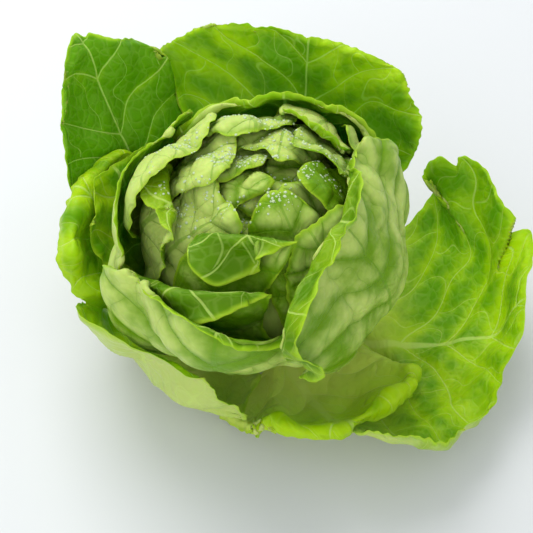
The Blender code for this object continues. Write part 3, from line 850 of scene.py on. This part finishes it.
def fine_leaf(laid, sizes):
    """The fine inner and outer faces of a leaf, and the fields that its colours need. The margin
    is nibbled in and out by noise along its length and torn, and the relief then stands on the
    blade's normals. The outer face lies a thickness below, and the rib lower still."""
    leaf = laid.leaf
    count = FINE_LINES[laid.group]
    inner = refined(without_spikes(laid.inner), count)
    flat = refined(laid.flat, count)
    along, across, rim, dx, dy, arc = (flat[..., k] for k in range(flat.shape[2]))
    rim = np.maximum(rim, 0.0)
    rng = np.random.default_rng(RELIEF_SEED + laid.seed)
    lateral, rung = vein_fields(laid, along, across)
    lengthwise, crosswise = flat_tangents(inner, along, across)
    heading = dx[..., None] * lengthwise + dy[..., None] * crosswise
    heading = heading / np.maximum(np.linalg.norm(heading, axis=2, keepdims=True), SHORTEST_HEADING)
    noise = smooth_noise(rng, arc, NIBBLE_SLANT * rim, NIBBLE_LENGTH)
    nibble = NIBBLE * np.exp(-rim / RIPPLE_DEPTH) * noise
    inner = inner + (nibble - torn(leaf, NOTCHES, arc, rim))[..., None] * heading
    inner = drawn_in(inner, torn(leaf, SLITS, arc, rim))
    swell = blade_swell(laid, along, rim, lateral, rung)
    height = relief(laid, sizes, rng, along, across, rim, arc, swell)
    inner = inner + height[..., None] * grid_normals(inner)
    thick = MARGIN_BLADE + (1.0 - MARGIN_BLADE) * smooth_step(0.0, BLADE_MARGIN, rim)
    rib = np.exp(-((across / RIB_HALF_WIDTH) ** 2)) * (1.0 - along / laid.length) ** 2
    below = sizes.blade / MM * thick + RIB_THICK * rib
    outer = inner + below[..., None] * grid_normals(inner)
    fields = {
        "along": along,
        "across": across,
        "rim": rim,
        "lateral": lateral,
        "rung": rung,
        "swell": swell,
        "pale": np.full_like(along, PALENESS.get(leaf.name, MIDDLING)),
        "spacing": np.full_like(along, VEIN_SPACING[laid.group]),
    }
    return inner, outer, fields


def sheet_mesh(name, inner, outer, fields):
    """A closed mesh between two grids: two faces, joined round the margin by a wall. Each field
    becomes an attribute of its points, and the flat leaf its UV map."""
    rows, columns, _ = inner.shape
    count = rows * columns
    points = np.concatenate([inner.reshape(-1, 3), outer.reshape(-1, 3)]) * MM
    index = np.arange(count).reshape(rows, columns)
    a, b = index[:-1, :-1].ravel(), index[:-1, 1:].ravel()
    c, d = index[1:, 1:].ravel(), index[1:, :-1].ravel()
    blade = np.stack([a, b, c, d], 1)
    loop = np.concatenate([index[0, :-1], index[:-1, -1], index[-1, :0:-1], index[:0:-1, 0]])
    following = np.roll(loop, -1)
    wall = np.stack([loop, following, following + count, loop + count], 1)
    faces = np.concatenate([blade + count, blade[:, ::-1], wall])
    mesh = mesh_from(name, points, faces)
    for field, values in fields.items():
        stored = mesh.attributes.new(field, "FLOAT", "POINT")
        stored.data.foreach_set("value", np.tile(values.ravel(), 2).astype(np.float32))
    face = mesh.attributes.new("underside", "FLOAT", "POINT")
    face.data.foreach_set("value", np.repeat([0.0, 1.0], count).astype(np.float32))
    corners = faces.ravel() % count
    flat = np.stack([fields["along"].ravel()[corners], fields["across"].ravel()[corners]], 1)
    layer = mesh.uv_layers.new(name="flat_leaf")
    layer.data.foreach_set("uv", (flat * MM).astype(np.float32).ravel())
    return mesh


def mesh_from(name, points, faces):
    """A smooth-shaded mesh of four-sided faces from arrays."""
    mesh = bpy.data.meshes.new(name)
    mesh.vertices.add(len(points))
    mesh.vertices.foreach_set("co", points.astype(np.float32).ravel())
    mesh.loops.add(faces.size)
    mesh.loops.foreach_set("vertex_index", faces.astype(np.int32).ravel())
    mesh.polygons.add(len(faces))
    mesh.polygons.foreach_set("loop_start", np.arange(0, faces.size, faces.shape[1], dtype=np.int32))
    mesh.update(calc_edges=True)
    mesh.validate()
    mesh.shade_smooth()
    return mesh


def add_piece(name, mesh, finish, slot, *nodes):
    """Puts a mesh into the scene as a piece that stands for CAD nodes."""
    piece = bpy.data.objects.new(name, mesh)
    bpy.context.scene.collection.objects.link(piece)
    mesh.materials.append(finish)
    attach(piece, "root")
    if nodes:
        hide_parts(*nodes)
    return piece


class Nodes:
    """Short ways to add and link the nodes of one material."""

    def __init__(self, name):
        self.material = bpy.data.materials.new(name)
        self.material.use_nodes = True
        self.tree = self.material.node_tree
        self.shader = self.tree.nodes["Principled BSDF"]

    def node(self, kind, inputs=(), **settings):
        """A new node with these inputs and settings."""
        made = self.tree.nodes.new(kind)
        for key, value in settings.items():
            setattr(made, key, value)
        for key, value in dict(inputs).items():
            self.put(made.inputs[key], value)
        return made

    def put(self, socket, value):
        """Links an output to the socket, or sets the socket to a value."""
        if isinstance(value, bpy.types.NodeSocket):
            self.tree.links.new(value, socket)
        else:
            socket.default_value = value

    def math(self, operation, *values):
        return self.node("ShaderNodeMath", enumerate(values), operation=operation).outputs[0]

    def field(self, name):
        return self.node("ShaderNodeAttribute", attribute_name=name).outputs["Fac"]

    def ramp(self, value, low, high, start=0.0, end=1.0):
        """Goes smoothly from start to end while value goes from low to high."""
        inputs = {"Value": value, "From Min": low, "From Max": high, "To Min": start, "To Max": end}
        made = self.node("ShaderNodeMapRange", inputs, interpolation_type="SMOOTHSTEP")
        return made.outputs["Result"]

    def mix(self, share, first, second, blend="MIX"):
        made = self.node("ShaderNodeMix", data_type="RGBA", blend_type=blend)
        self.put(made.inputs[0], share)
        self.put(made.inputs[6], first)
        self.put(made.inputs[7], second)
        return made.outputs[2]

    def noise(self, place, scale, detail=2.0):
        inputs = {"Vector": place, "Scale": scale, "Detail": detail}
        return self.node("ShaderNodeTexNoise", inputs).outputs["Fac"]

    def soft_inside(self, weight, radius, scale):
        """Lets light travel inside the surface."""
        for key, value in (("Weight", weight), ("Radius", radius), ("Scale", scale)):
            self.put(self.shader.inputs["Subsurface " + key], value)

    def bump(self, height, strength, distance):
        """Shades the surface as if it had this relief."""
        made = self.node("ShaderNodeBump", {"Height": height, "Strength": strength, "Distance": distance})
        self.put(self.shader.inputs["Normal"], made.outputs["Normal"])


def opaque(colour):
    """The colour with full cover."""
    return (*colour, 1.0)


# Scales of the patterns, in cells per metre.
NET_SCALE = 190.0
NET_WOBBLE_SCALE = 90.0
NET_WOBBLE = 0.006
WIDE_TONE_SCALE = 26.0
NARROW_TONE_SCALE = 160.0
GLOSS_SCALE = 300.0
GRAIN_SCALE = 900.0

# How much the narrow noise and the paleness of a leaf count for its green, how much painted shade and
# painted sheen the swell between the veins adds, how strong the veins are on each face, and the length in mm
# that counts as a whole leaf's.
NARROW_TONE = 0.25
SWELL_SHADE_AND_SHEEN = 0.22
PALENESS_TONE = 0.4
VEIN_ON_UPPER = 0.6
VEIN_ON_LOWER = 0.55
BASE_TO_TIP = 125.0

# The skin's shine, which is tinted as light passes through the leaf before it comes back.
LEAF_IOR = 1.38
GREEN_SHINE = (0.9, 1.0, 0.3, 1.0)


def net_of_veins(n, flat):
    """How far each place is from the leaf's finest net of veins: a bent pattern of cells."""
    wobble = n.node("ShaderNodeTexNoise", {"Vector": flat, "Scale": NET_WOBBLE_SCALE}).outputs["Color"]
    bent = n.node("ShaderNodeMix", data_type="VECTOR")
    n.put(bent.inputs[0], NET_WOBBLE)
    n.put(bent.inputs[4], flat)
    n.put(bent.inputs[5], wobble)
    inputs = {"Vector": bent.outputs[1], "Scale": NET_SCALE}
    return n.node("ShaderNodeTexVoronoi", inputs, feature="DISTANCE_TO_EDGE").outputs["Distance"]


def all_veins(n, up, net):
    """How much of a vein each place is: of the rib, a side vein, a rung or the net. The rib
    narrows towards the tip and the side veins towards the margin. Distances are in mm."""
    across = n.math("ABSOLUTE", n.field("across"))
    spacing = n.field("spacing")
    to_side_vein = n.math("MULTIPLY", n.math("PINGPONG", n.field("lateral"), 0.5), spacing)
    side_width = n.ramp(across, 0.0, 45.0, 1.0, 0.55)
    side_vein = n.ramp(n.math("DIVIDE", to_side_vein, side_width), 0.2, 0.8, 1.0, 0.0)
    to_rung = n.math("MULTIPLY", n.math("PINGPONG", n.field("rung"), 0.5), spacing)
    rung = n.ramp(to_rung, 0.15, 0.7, 0.6, 0.0)
    rung = n.math("MULTIPLY", rung, n.ramp(to_side_vein, 0.6, 1.6))
    rib_width = n.ramp(up, 0.0, 1.0, 2.6, 0.5)
    rib = n.ramp(n.math("DIVIDE", across, rib_width), 0.6, 1.4, 1.0, 0.0)
    fine = n.ramp(net, 0.02, 0.14, 0.12, 0.0)
    return n.math("MAXIMUM", n.math("MAXIMUM", rib, side_vein), n.math("MAXIMUM", rung, fine))


def leaf_tones(n, flat, place):
    """How light the green is on the upper face and on the lower one: noise, the leaf's own
    paleness, and painted light from the swell between the veins: painted shade on the face that is hollow
    there and a painted sheen on the face that bulges."""
    wide = n.noise(place, WIDE_TONE_SCALE, 3.0)
    narrow = n.noise(flat, NARROW_TONE_SCALE, 3.0)
    tone = n.math("ADD", n.math("MULTIPLY", wide, 1.0 - NARROW_TONE), n.math("MULTIPLY", narrow, NARROW_TONE))
    # Painted shade and painted sheen: where the blade swells, the hollow face is painted darker and the
    # bulging face lighter.
    dome = n.math("MULTIPLY_ADD", n.field("swell"), SWELL_SHADE_AND_SHEEN, -0.5 * SWELL_SHADE_AND_SHEEN)
    paleness = n.math("MULTIPLY_ADD", n.field("pale"), PALENESS_TONE, -0.5 * PALENESS_TONE)
    tone = n.math("ADD", tone, paleness)
    return n.math("SUBTRACT", tone, dome), n.math("ADD", tone, dome)


def leaf_colour(n, colours, greens, lower_vein, tones, up, vein):
    """The greens of both faces by their tones, with the veins, the pale base and the thin edge. On an inner
    leaf's outer face the veins are drawn dark, as painted vein shadows.
    """
    faces = []
    veins = (opaque(colours.vein_pale), VEIN_ON_UPPER), (lower_vein, VEIN_ON_LOWER)
    base = n.ramp(up, 0.12, 0.5, 0.75, 0.0)
    for tone, (dark, light, low), (vein_colour, strength) in zip(tones, greens, veins):
        green = n.mix(n.ramp(tone, low, 1.0 - low), opaque(dark), opaque(light))
        green = n.mix(n.math("MULTIPLY", vein, strength), green, vein_colour)
        faces.append(n.mix(base, green, opaque(colours.base)))
    colour = n.mix(n.ramp(n.field("underside"), 0.3, 0.7), *faces)
    return n.mix(n.ramp(n.field("rim"), 0.3, 3.0, 0.75, 0.0), colour, opaque(colours.rim))


def leaf_material(name, colours, outer):
    """A leaf's finish. Its colours follow the vein pattern, the distance from the margin and
    from the base, and which face it is; noise on the flat leaf varies the green. The swell between the veins
    adds painted shade and painted sheen, and the veins on an inner leaf's outer face are painted vein
    shadows."""
    n = Nodes(name)
    flat = n.node("ShaderNodeUVMap", uv_map="flat_leaf").outputs["UV"]
    place = n.node("ShaderNodeTexCoord").outputs["Object"]
    up = n.math("MULTIPLY", n.field("along"), 1.0 / BASE_TO_TIP)
    net = net_of_veins(n, flat)
    vein = all_veins(n, up, net)
    if outer:
        upper = colours.outer_dark, colours.outer_light, 0.33
        lower = colours.underside, colours.underside_pale, 0.3
        lower_vein = opaque(colours.vein_pale)
    else:
        upper = colours.inner_upper, colours.inner_light, 0.36
        lower = colours.inner, colours.inner_pale, 0.34
        # Painted shadow: the veins on an inner leaf's outer face are dark lines that stand in for the veins'
        # shade in the translucent blade.
        lower_vein = opaque(colours.vein_painted_shadow)
    tones = leaf_tones(n, flat, place)
    colour = leaf_colour(n, colours, (upper, lower), lower_vein, tones, up, vein)
    n.put(n.shader.inputs["Base Color"], colour)

    gloss = n.noise(flat, GLOSS_SCALE)
    n.put(n.shader.inputs["Roughness"], n.ramp(gloss, 0.3, 0.7, 0.36, 0.52))
    n.put(n.shader.inputs["IOR"], LEAF_IOR)
    n.put(n.shader.inputs["Specular Tint"], GREEN_SHINE)
    n.soft_inside(0.35, (0.5, 1.0, 0.15), 0.002)
    relief = n.math("SUBTRACT", n.ramp(net, 0.0, 0.3, 0.0, 0.5), n.math("MULTIPLY", vein, 0.6))
    grain = n.noise(flat, GRAIN_SCALE)
    n.bump(n.math("ADD", relief, n.math("MULTIPLY", grain, 0.25)), 0.5, 0.0006)
    return n.material


def drop_material(colours):
    """Water drops with painted light: their pale green base colour stands in for the light that the leaf
    under them sends back through the drops.
    """
    n = Nodes("water")
    # Painted light: a pale green base colour in place of clear water.
    n.put(n.shader.inputs["Base Color"], opaque(colours.water))
    n.put(n.shader.inputs["Roughness"], 0.03)
    n.put(n.shader.inputs["IOR"], 1.33)
    n.put(n.shader.inputs["Transmission Weight"], 0.35)
    return n.material


def butt_material(colours):
    """The cut stem: cream flesh, with a ring of darker bundles and brown stains on its face."""
    n = Nodes("cut_butt")
    place = n.node("ShaderNodeTexCoord").outputs["Object"]
    flat = n.node("ShaderNodeMapping", {"Vector": place, "Scale": (1.0, 1.0, 0.25)}).outputs["Vector"]
    speckle = n.noise(flat, 420.0, 3.0)
    stain = n.noise(place, 90.0, 4.0)
    colour = n.mix(n.ramp(speckle, 0.4, 0.65), opaque(colours.butt), opaque(colours.butt_stain))
    colour = n.mix(n.ramp(stain, 0.5, 0.75, 0.0, 0.8), colour, opaque(colours.butt_stain))
    n.put(n.shader.inputs["Base Color"], colour)
    n.put(n.shader.inputs["Roughness"], n.ramp(speckle, 0.3, 0.7, 0.4, 0.7))
    n.soft_inside(0.2, (1.0, 0.9, 0.5), 0.003)
    n.bump(speckle, 0.4, 0.0008)
    return n.material


def add_leaves(group, sizes, finish, slot):
    """Adds the fine leaves of one group, each for the CAD node of its name or of the heart."""
    for laid in laid_leaves():
        if laid.group != group:
            continue
        inner, outer, fields = fine_leaf(laid, sizes)
        mesh = sheet_mesh(laid.leaf.name + "_mesh", inner, outer, fields)
        node = "heart" if group == "heart" else laid.leaf.name
        add_piece("fine_" + laid.leaf.name, mesh, finish, slot, node)


def ball_grid(radius_of, rows, columns):
    """Points of a closed shape whose radius depends on the direction from the head's centre."""
    tilt = np.linspace(0.0, math.pi, rows)[:, None]
    turn = np.linspace(0.0, 2.0 * math.pi, columns, endpoint=False)[None, :]
    directions = np.stack(
        [np.sin(tilt) * np.cos(turn), np.sin(tilt) * np.sin(turn), np.cos(tilt) * np.ones_like(turn)], 2
    )
    return directions * radius_of(directions.reshape(-1, 3)).reshape(rows, columns, 1)


def closed_rings(rings):
    """Points and faces of a shape given as rings from pole to pole, the first and last of which
    have shrunk to a point. Each pole becomes one point in a fan of thin four-sided faces."""
    rows, columns, _ = rings.shape
    points = np.concatenate([rings[:1, 0], rings[1:-1].reshape(-1, 3), rings[-1:, 0]])
    index = 1 + np.arange((rows - 2) * columns).reshape(rows - 2, columns)
    following = np.roll(index, -1, axis=1)
    side = np.stack([index[:-1], index[1:], following[1:], following[:-1]], 2).reshape(-1, 4)
    top = np.zeros(columns, int)
    end = np.full(columns, len(points) - 1)
    caps = [
        np.stack([top, index[0], following[0]], 1),
        np.stack([end, following[-1], index[-1]], 1),
    ]
    return points, side, np.concatenate(caps)


def ring_mesh(name, rings):
    """A smooth closed mesh from rings from pole to pole."""
    points, sides, caps = closed_rings(rings)
    mesh = bpy.data.meshes.new(name)
    mesh.from_pydata(points.tolist(), [], sides.tolist() + caps.tolist())
    mesh.update()
    mesh.shade_smooth()
    return mesh


def add_core(finish):
    """The middle of the heart, which the innermost leaves stand out of. To its finish it's the
    blade of a leaf far from every margin, seen from outside."""
    rings = (CENTRE + ball_grid(lambda d: heart_radius(d) - CORE_GAP, 49, 72)) * MM
    mesh = ring_mesh("heart_core_mesh", rings)
    count = len(mesh.vertices)
    for fields, value in CORE_FIELDS:
        for field in fields:
            stored = mesh.attributes.new(field, "FLOAT", "POINT")
            stored.data.foreach_set("value", np.full(count, value, np.float32))
    layer = mesh.uv_layers.new(name="flat_leaf")
    corners = np.zeros(len(mesh.loops), np.int32)
    mesh.loops.foreach_get("vertex_index", corners)
    places = np.zeros(count * 3, np.float32)
    mesh.vertices.foreach_get("co", places)
    layer.data.foreach_set("uv", places.reshape(-1, 3)[corners][:, :2].ravel())
    add_piece("heart_core", mesh, finish, "inner_green", "heart")


def add_stem(finish):
    """The butt, turned from its profile with low random bumps, and a cut face with a sunken
    ring. The face stays on the ground."""
    profile = np.array(STEM_PROFILE)
    heights = np.linspace(0.0, profile[-1, 1], STEM_RINGS)
    wall = np.stack([np.interp(heights, profile[:, 1], profile[:, 0]), heights], 1)
    radii, heights = np.concatenate([CUT_FACE, wall, STEM_TOP]).T[:, :, None]
    turn = np.linspace(0.0, 2.0 * math.pi, FINE_STEM_SIDES, endpoint=False)[None, :]
    rng = np.random.default_rng(STEM_SEED)
    x, y = BUMP_ROUND * np.cos(turn) + heights, BUMP_ROUND * np.sin(turn) - heights
    bumps = smooth_noise(rng, x, y, BUMP_LENGTH)
    radii = radii + BUMP_HEIGHT * bumps * smooth_step(*BUMPS_GROW, heights)
    rings = np.stack([radii * np.cos(turn), radii * np.sin(turn), heights * np.ones_like(turn)], 2)
    mesh = ring_mesh("fine_stem_mesh", rings[::-1] * MM)
    add_piece("fine_stem", mesh, finish, "butt", "stem")


def wetness(points):
    """One in the middle of the wet oval, nought at its edge and less outside."""
    return 1.0 - sum(((points[:, k] - WET_CENTRE[k]) / WET_HALF[k]) ** 2 for k in range(2))


def drop_places(count):
    """Where drops that fall on the wet oval first meet a leaf that isn't too steep, and which way
    the leaf faces there."""
    rng = np.random.default_rng(DROP_PLACE_SEED)
    tries = rng.uniform(-1.0, 1.0, (DROP_TRIES * count, 2)) * WET_HALF + WET_CENTRE
    clumps = smooth_noise(rng, tries[:, 0], tries[:, 1], CLUMP_LENGTH)
    clumps = clumps + rng.normal(0.0, CLUMP_NOISE, len(tries))
    chance = np.clip(clumps + CLUMP_SHARE, 0.0, 1.0) * wetness(tries)
    tries = tries[chance > rng.uniform(0.0, CLUMP_LIMIT, len(tries))]
    graph = bpy.context.evaluated_depsgraph_get()
    leaves = [BVHTree.FromObject(one, graph) for one in bpy.data.objects if one.name.startswith("fine_")]
    down = Vector((0.0, 0.0, -1.0))
    places, directions = [], []
    for x, y in tries:
        start = Vector((x * MM, y * MM, RAIN_HEIGHT))
        hits = [hit for hit in (leaf.ray_cast(start, down) for leaf in leaves) if hit[0]]
        place, normal, _, _ = min(hits, key=lambda hit: hit[3])
        if normal.z > STEEPEST and len(places) < count:
            places.append(place / MM)
            directions.append(normal)
    return np.array(places), np.array(directions)


def add_drops(sizes, finish):
    """Water drops: each is a low dome over a shallower belly, half sunk in the leaf."""
    centres, up = drop_places(sizes.drop_count)
    count = len(centres)
    rng = np.random.default_rng(DROP_SIZE_SEED)
    radii = sizes.drop_radius / MM * rng.uniform(SMALLEST_DROP, 1.0, count) ** 2.0
    aside = unit(np.cross(up, NO_NORMAL))
    other = np.cross(up, aside)
    tilt = np.linspace(0.0, math.pi, DROP_RINGS + 2)
    turn = np.linspace(0.0, 2.0 * math.pi, DROP_SIDES, endpoint=False)
    ring = np.sin(tilt)[:, None, None]
    shape = [ring * np.cos(turn)[None, :, None], ring * np.sin(turn)[None, :, None]]
    lift = DROP_HEIGHT * np.cos(tilt)[:, None, None] * np.ones((1, DROP_SIDES, 1))
    meshes, sides, caps, start = [], [], [], 0
    for centre, radius, u, a, b in zip(centres, radii, up, aside, other):
        rings = centre + radius * (shape[0] * a + shape[1] * b + lift * u)
        points, side, cap = closed_rings(rings)
        meshes.append(points)
        sides.append(side + start)
        caps.append(cap + start)
        start += len(points)
    mesh = bpy.data.meshes.new("water_drops_mesh")
    faces = np.concatenate(sides).tolist() + np.concatenate(caps).tolist()
    mesh.from_pydata((np.concatenate(meshes) * MM).tolist(), [], faces)
    mesh.update()
    mesh.shade_smooth()
    add_piece("water_drops", mesh, finish, None)


def colour_property(name, description, value):
    """A described colour with a default."""
    return bpy.props.FloatVectorProperty(
        name=name, description=description, subtype="COLOR", size=3, min=0.0, max=1.0, default=value
    )


def length_property(name, description, value):
    """A described length in metres with a default."""
    return bpy.props.FloatProperty(
        name=name, description=description, unit="LENGTH", min=0.0, precision=5, default=value
    )


class LettuceSizes(bpy.types.PropertyGroup):
    """Sizes of the fine detail."""

    blade: length_property("Blade", "Thickness of a leaf between its veins", 0.0006)
    pucker_height: length_property("Puckers", "How far the blade swells between its veins", 0.0019)
    crinkle_height: length_property("Crinkles", "Height of the finest unevenness", 0.00014)
    wave_height: length_property("Waves", "Height of the wide waves of an outer leaf", 0.0022)
    ripple_height: length_property("Ripples", "Height of the small waves of a margin", 0.0008)
    drop_radius: length_property("Drop radius", "Radius of the largest water drop", 0.0008)
    drop_count: bpy.props.IntProperty(name="Drops", description="Number of water drops", min=1, default=900)


class LettuceColours(bpy.types.PropertyGroup):
    """Colours of the leaves, the butt and the stage."""

    outer_dark: colour_property("Outer, dark", "Darker green of an outer upper face", (0.10, 0.29, 0.001))
    outer_light: colour_property("Outer, light", "Lighter green of that face", (0.35, 0.56, 0.002))
    underside: colour_property("Underside", "Green of an outer leaf's underside", (0.27, 0.42, 0.03))
    underside_pale: colour_property("Underside, pale", "Paler green of that underside", (0.45, 0.56, 0.15))
    inner_upper: colour_property("Inner, upper", "Green of an inner leaf's upper face", (0.08, 0.21, 0.001))
    inner_light: colour_property("Inner, light", "Lighter green of that face", (0.21, 0.37, 0.002))
    inner: colour_property("Inner", "Green of an inner leaf's outer face", (0.13, 0.28, 0.003))
    inner_pale: colour_property("Inner, pale", "Paler green of that face", (0.47, 0.60, 0.14))
    vein_pale: colour_property("Pale veins", "Veins on the upper faces", (0.50, 0.66, 0.16))
    # Painted shadow: dark vein lines on the ball, standing in for the shade of the veins in the translucent
    # blade.
    vein_painted_shadow: colour_property("Dark veins", "Thin veins on the ball", (0.13, 0.30, 0.01))
    rim: colour_property("Rim", "The thin edge of a leaf", (0.33, 0.52, 0.02))
    base: colour_property("Base", "The flesh near the butt", (0.55, 0.65, 0.13))
    butt: colour_property("Butt", "The cut stem", (0.70, 0.68, 0.42))
    butt_stain: colour_property("Butt stain", "Browned flesh on the cut", (0.42, 0.27, 0.11))
    # Painted light: the drops' pale green stands in for the light that the leaf under them sends back through
    # them.
    water: colour_property("Water", "The drops", (0.72, 0.86, 0.55))
    floor: colour_property("Floor", "The ground", (0.665, 0.68, 0.69))


class PieceOperator(bpy.types.Operator):
    """What the piece operators share."""

    bl_options = {"REGISTER"}

    def colours(self):
        return bpy.context.scene.lettuce_colours

    def sizes(self):
        return bpy.context.scene.lettuce_sizes

    def inner_finish(self):
        made = bpy.data.materials.get("inner_leaf")
        return made or leaf_material("inner_leaf", self.colours(), outer=False)


class LETTUCE_OT_heart(PieceOperator):
    """Adds the core and the innermost leaves"""

    bl_idname = "lettuce.heart"
    bl_label = "Heart"

    def execute(self, context):
        add_core(self.inner_finish())
        add_leaves("heart", self.sizes(), self.inner_finish(), "inner_green")
        return {"FINISHED"}


class LETTUCE_OT_crown(PieceOperator):
    """Adds the small leaves of the crown"""

    bl_idname = "lettuce.crown"
    bl_label = "Crown leaves"

    def execute(self, context):
        add_leaves("crown", self.sizes(), self.inner_finish(), "inner_green")
        return {"FINISHED"}


class LETTUCE_OT_wrappers(PieceOperator):
    """Adds the broad leaves that wrap the ball"""

    bl_idname = "lettuce.wrappers"
    bl_label = "Wrapper leaves"

    def execute(self, context):
        add_leaves("wrapper", self.sizes(), self.inner_finish(), "inner_green")
        return {"FINISHED"}


class LETTUCE_OT_outer(PieceOperator):
    """Adds the loose outer leaves"""

    bl_idname = "lettuce.outer"
    bl_label = "Outer leaves"

    def execute(self, context):
        finish = leaf_material("outer_leaf", self.colours(), outer=True)
        add_leaves("outer", self.sizes(), finish, "outer_green")
        return {"FINISHED"}


class LETTUCE_OT_stem(PieceOperator):
    """Adds the cut butt"""

    bl_idname = "lettuce.stem"
    bl_label = "Butt"

    def execute(self, context):
        add_stem(butt_material(self.colours()))
        return {"FINISHED"}


class LETTUCE_OT_drops(PieceOperator):
    """Adds the water drops on the crown"""

    bl_idname = "lettuce.drops"
    bl_label = "Water drops"

    def execute(self, context):
        add_drops(self.sizes(), drop_material(self.colours()))
        return {"FINISHED"}


CAMERA_AIM = Vector((0.0, 0.0, 0.060))
CAMERA_DISTANCE = 0.614
CAMERA_TILT = math.radians(50.0)
CAMERA_LENS = 85.0
FLOOR_HALF = 3.0

# The soft lights, as place, side length and power, and the sky's colour and strength.
LIGHTS = {
    "window": ((-0.3, 0.7, 1.05), 0.9, 12.0),
    "front_fill": ((-0.3, -1.1, 0.6), 1.2, 6.0),
}
SKY_COLOUR = (0.95, 0.98, 1.0, 1.0)
SKY_STRENGTH = 0.75


def add_camera():
    """A long lens that looks down at the head from the front."""
    data = bpy.data.cameras.new("camera")
    data.lens = CAMERA_LENS
    data.clip_start = 0.01
    camera = bpy.data.objects.new("camera", data)
    bpy.context.scene.collection.objects.link(camera)
    back = Vector((0.0, -math.cos(CAMERA_TILT), math.sin(CAMERA_TILT)))
    camera.location = CAMERA_AIM + back * CAMERA_DISTANCE
    camera.rotation_euler = (-back).to_track_quat("-Z", "Y").to_euler()
    bpy.context.scene.camera = camera


def add_light(name, place, size, power):
    """A square soft light that looks at the head."""
    data = bpy.data.lights.new(name, "AREA")
    data.size = size
    data.energy = power
    light = bpy.data.objects.new(name, data)
    light.location = place
    light.rotation_euler = (CAMERA_AIM - Vector(place)).to_track_quat("-Z", "Y").to_euler()
    bpy.context.scene.collection.objects.link(light)


def add_floor(colours):
    """A wide plain floor."""
    points = FLOOR_HALF * np.array([(-1.0, -1.0, 0.0), (1.0, -1.0, 0.0), (1.0, 1.0, 0.0), (-1.0, 1.0, 0.0)])
    mesh = mesh_from("floor_mesh", points, np.array([[0, 1, 2, 3]]))
    n = Nodes("floor")
    n.put(n.shader.inputs["Base Color"], opaque(colours.floor))
    n.put(n.shader.inputs["Roughness"], 0.6)
    mesh.materials.append(n.material)
    floor = bpy.data.objects.new("floor", mesh)
    bpy.context.scene.collection.objects.link(floor)


class LETTUCE_OT_stage(PieceOperator):
    """Adds the camera, the lights and the floor"""

    bl_idname = "lettuce.stage"
    bl_label = "Stage"

    def execute(self, context):
        add_camera()
        add_floor(self.colours())
        for name, light in LIGHTS.items():
            add_light(name, *light)
        world = bpy.data.worlds.new("studio")
        world.use_nodes = True
        sky = world.node_tree.nodes["Background"]
        sky.inputs["Color"].default_value = SKY_COLOUR
        sky.inputs["Strength"].default_value = SKY_STRENGTH
        context.scene.world = world
        context.scene.view_settings.view_transform = "Standard"
        return {"FINISHED"}


class LETTUCE_PT_panel(bpy.types.Panel):
    """Lists the pieces, their sizes and their colours"""

    bl_idname = "LETTUCE_PT_panel"
    bl_label = "Lettuce"
    bl_space_type = "VIEW_3D"
    bl_region_type = "UI"
    bl_category = "Lettuce"

    def draw(self, context):
        for group in (context.scene.lettuce_sizes, context.scene.lettuce_colours):
            for name in group.bl_rna.properties.keys():
                if name not in ("rna_type", "name"):
                    self.layout.prop(group, name)
        for operator in OPERATORS:
            self.layout.operator(operator.bl_idname)


OPERATORS = (
    LETTUCE_OT_stage,
    LETTUCE_OT_heart,
    LETTUCE_OT_crown,
    LETTUCE_OT_wrappers,
    LETTUCE_OT_outer,
    LETTUCE_OT_stem,
    LETTUCE_OT_drops,
)
CLASSES = (LettuceSizes, LettuceColours, *OPERATORS, LETTUCE_PT_panel)


def register():
    for one in CLASSES:
        bpy.utils.register_class(one)
    bpy.types.Scene.lettuce_sizes = bpy.props.PointerProperty(type=LettuceSizes)
    bpy.types.Scene.lettuce_colours = bpy.props.PointerProperty(type=LettuceColours)


def unregister():
    del bpy.types.Scene.lettuce_colours
    del bpy.types.Scene.lettuce_sizes
    for one in reversed(CLASSES):
        bpy.utils.unregister_class(one)


def main():
    register()
    for operator in OPERATORS:
        group, name = operator.bl_idname.split(".")
        getattr(getattr(bpy.ops, group), name)()


if __name__ == "__main__":
    main()
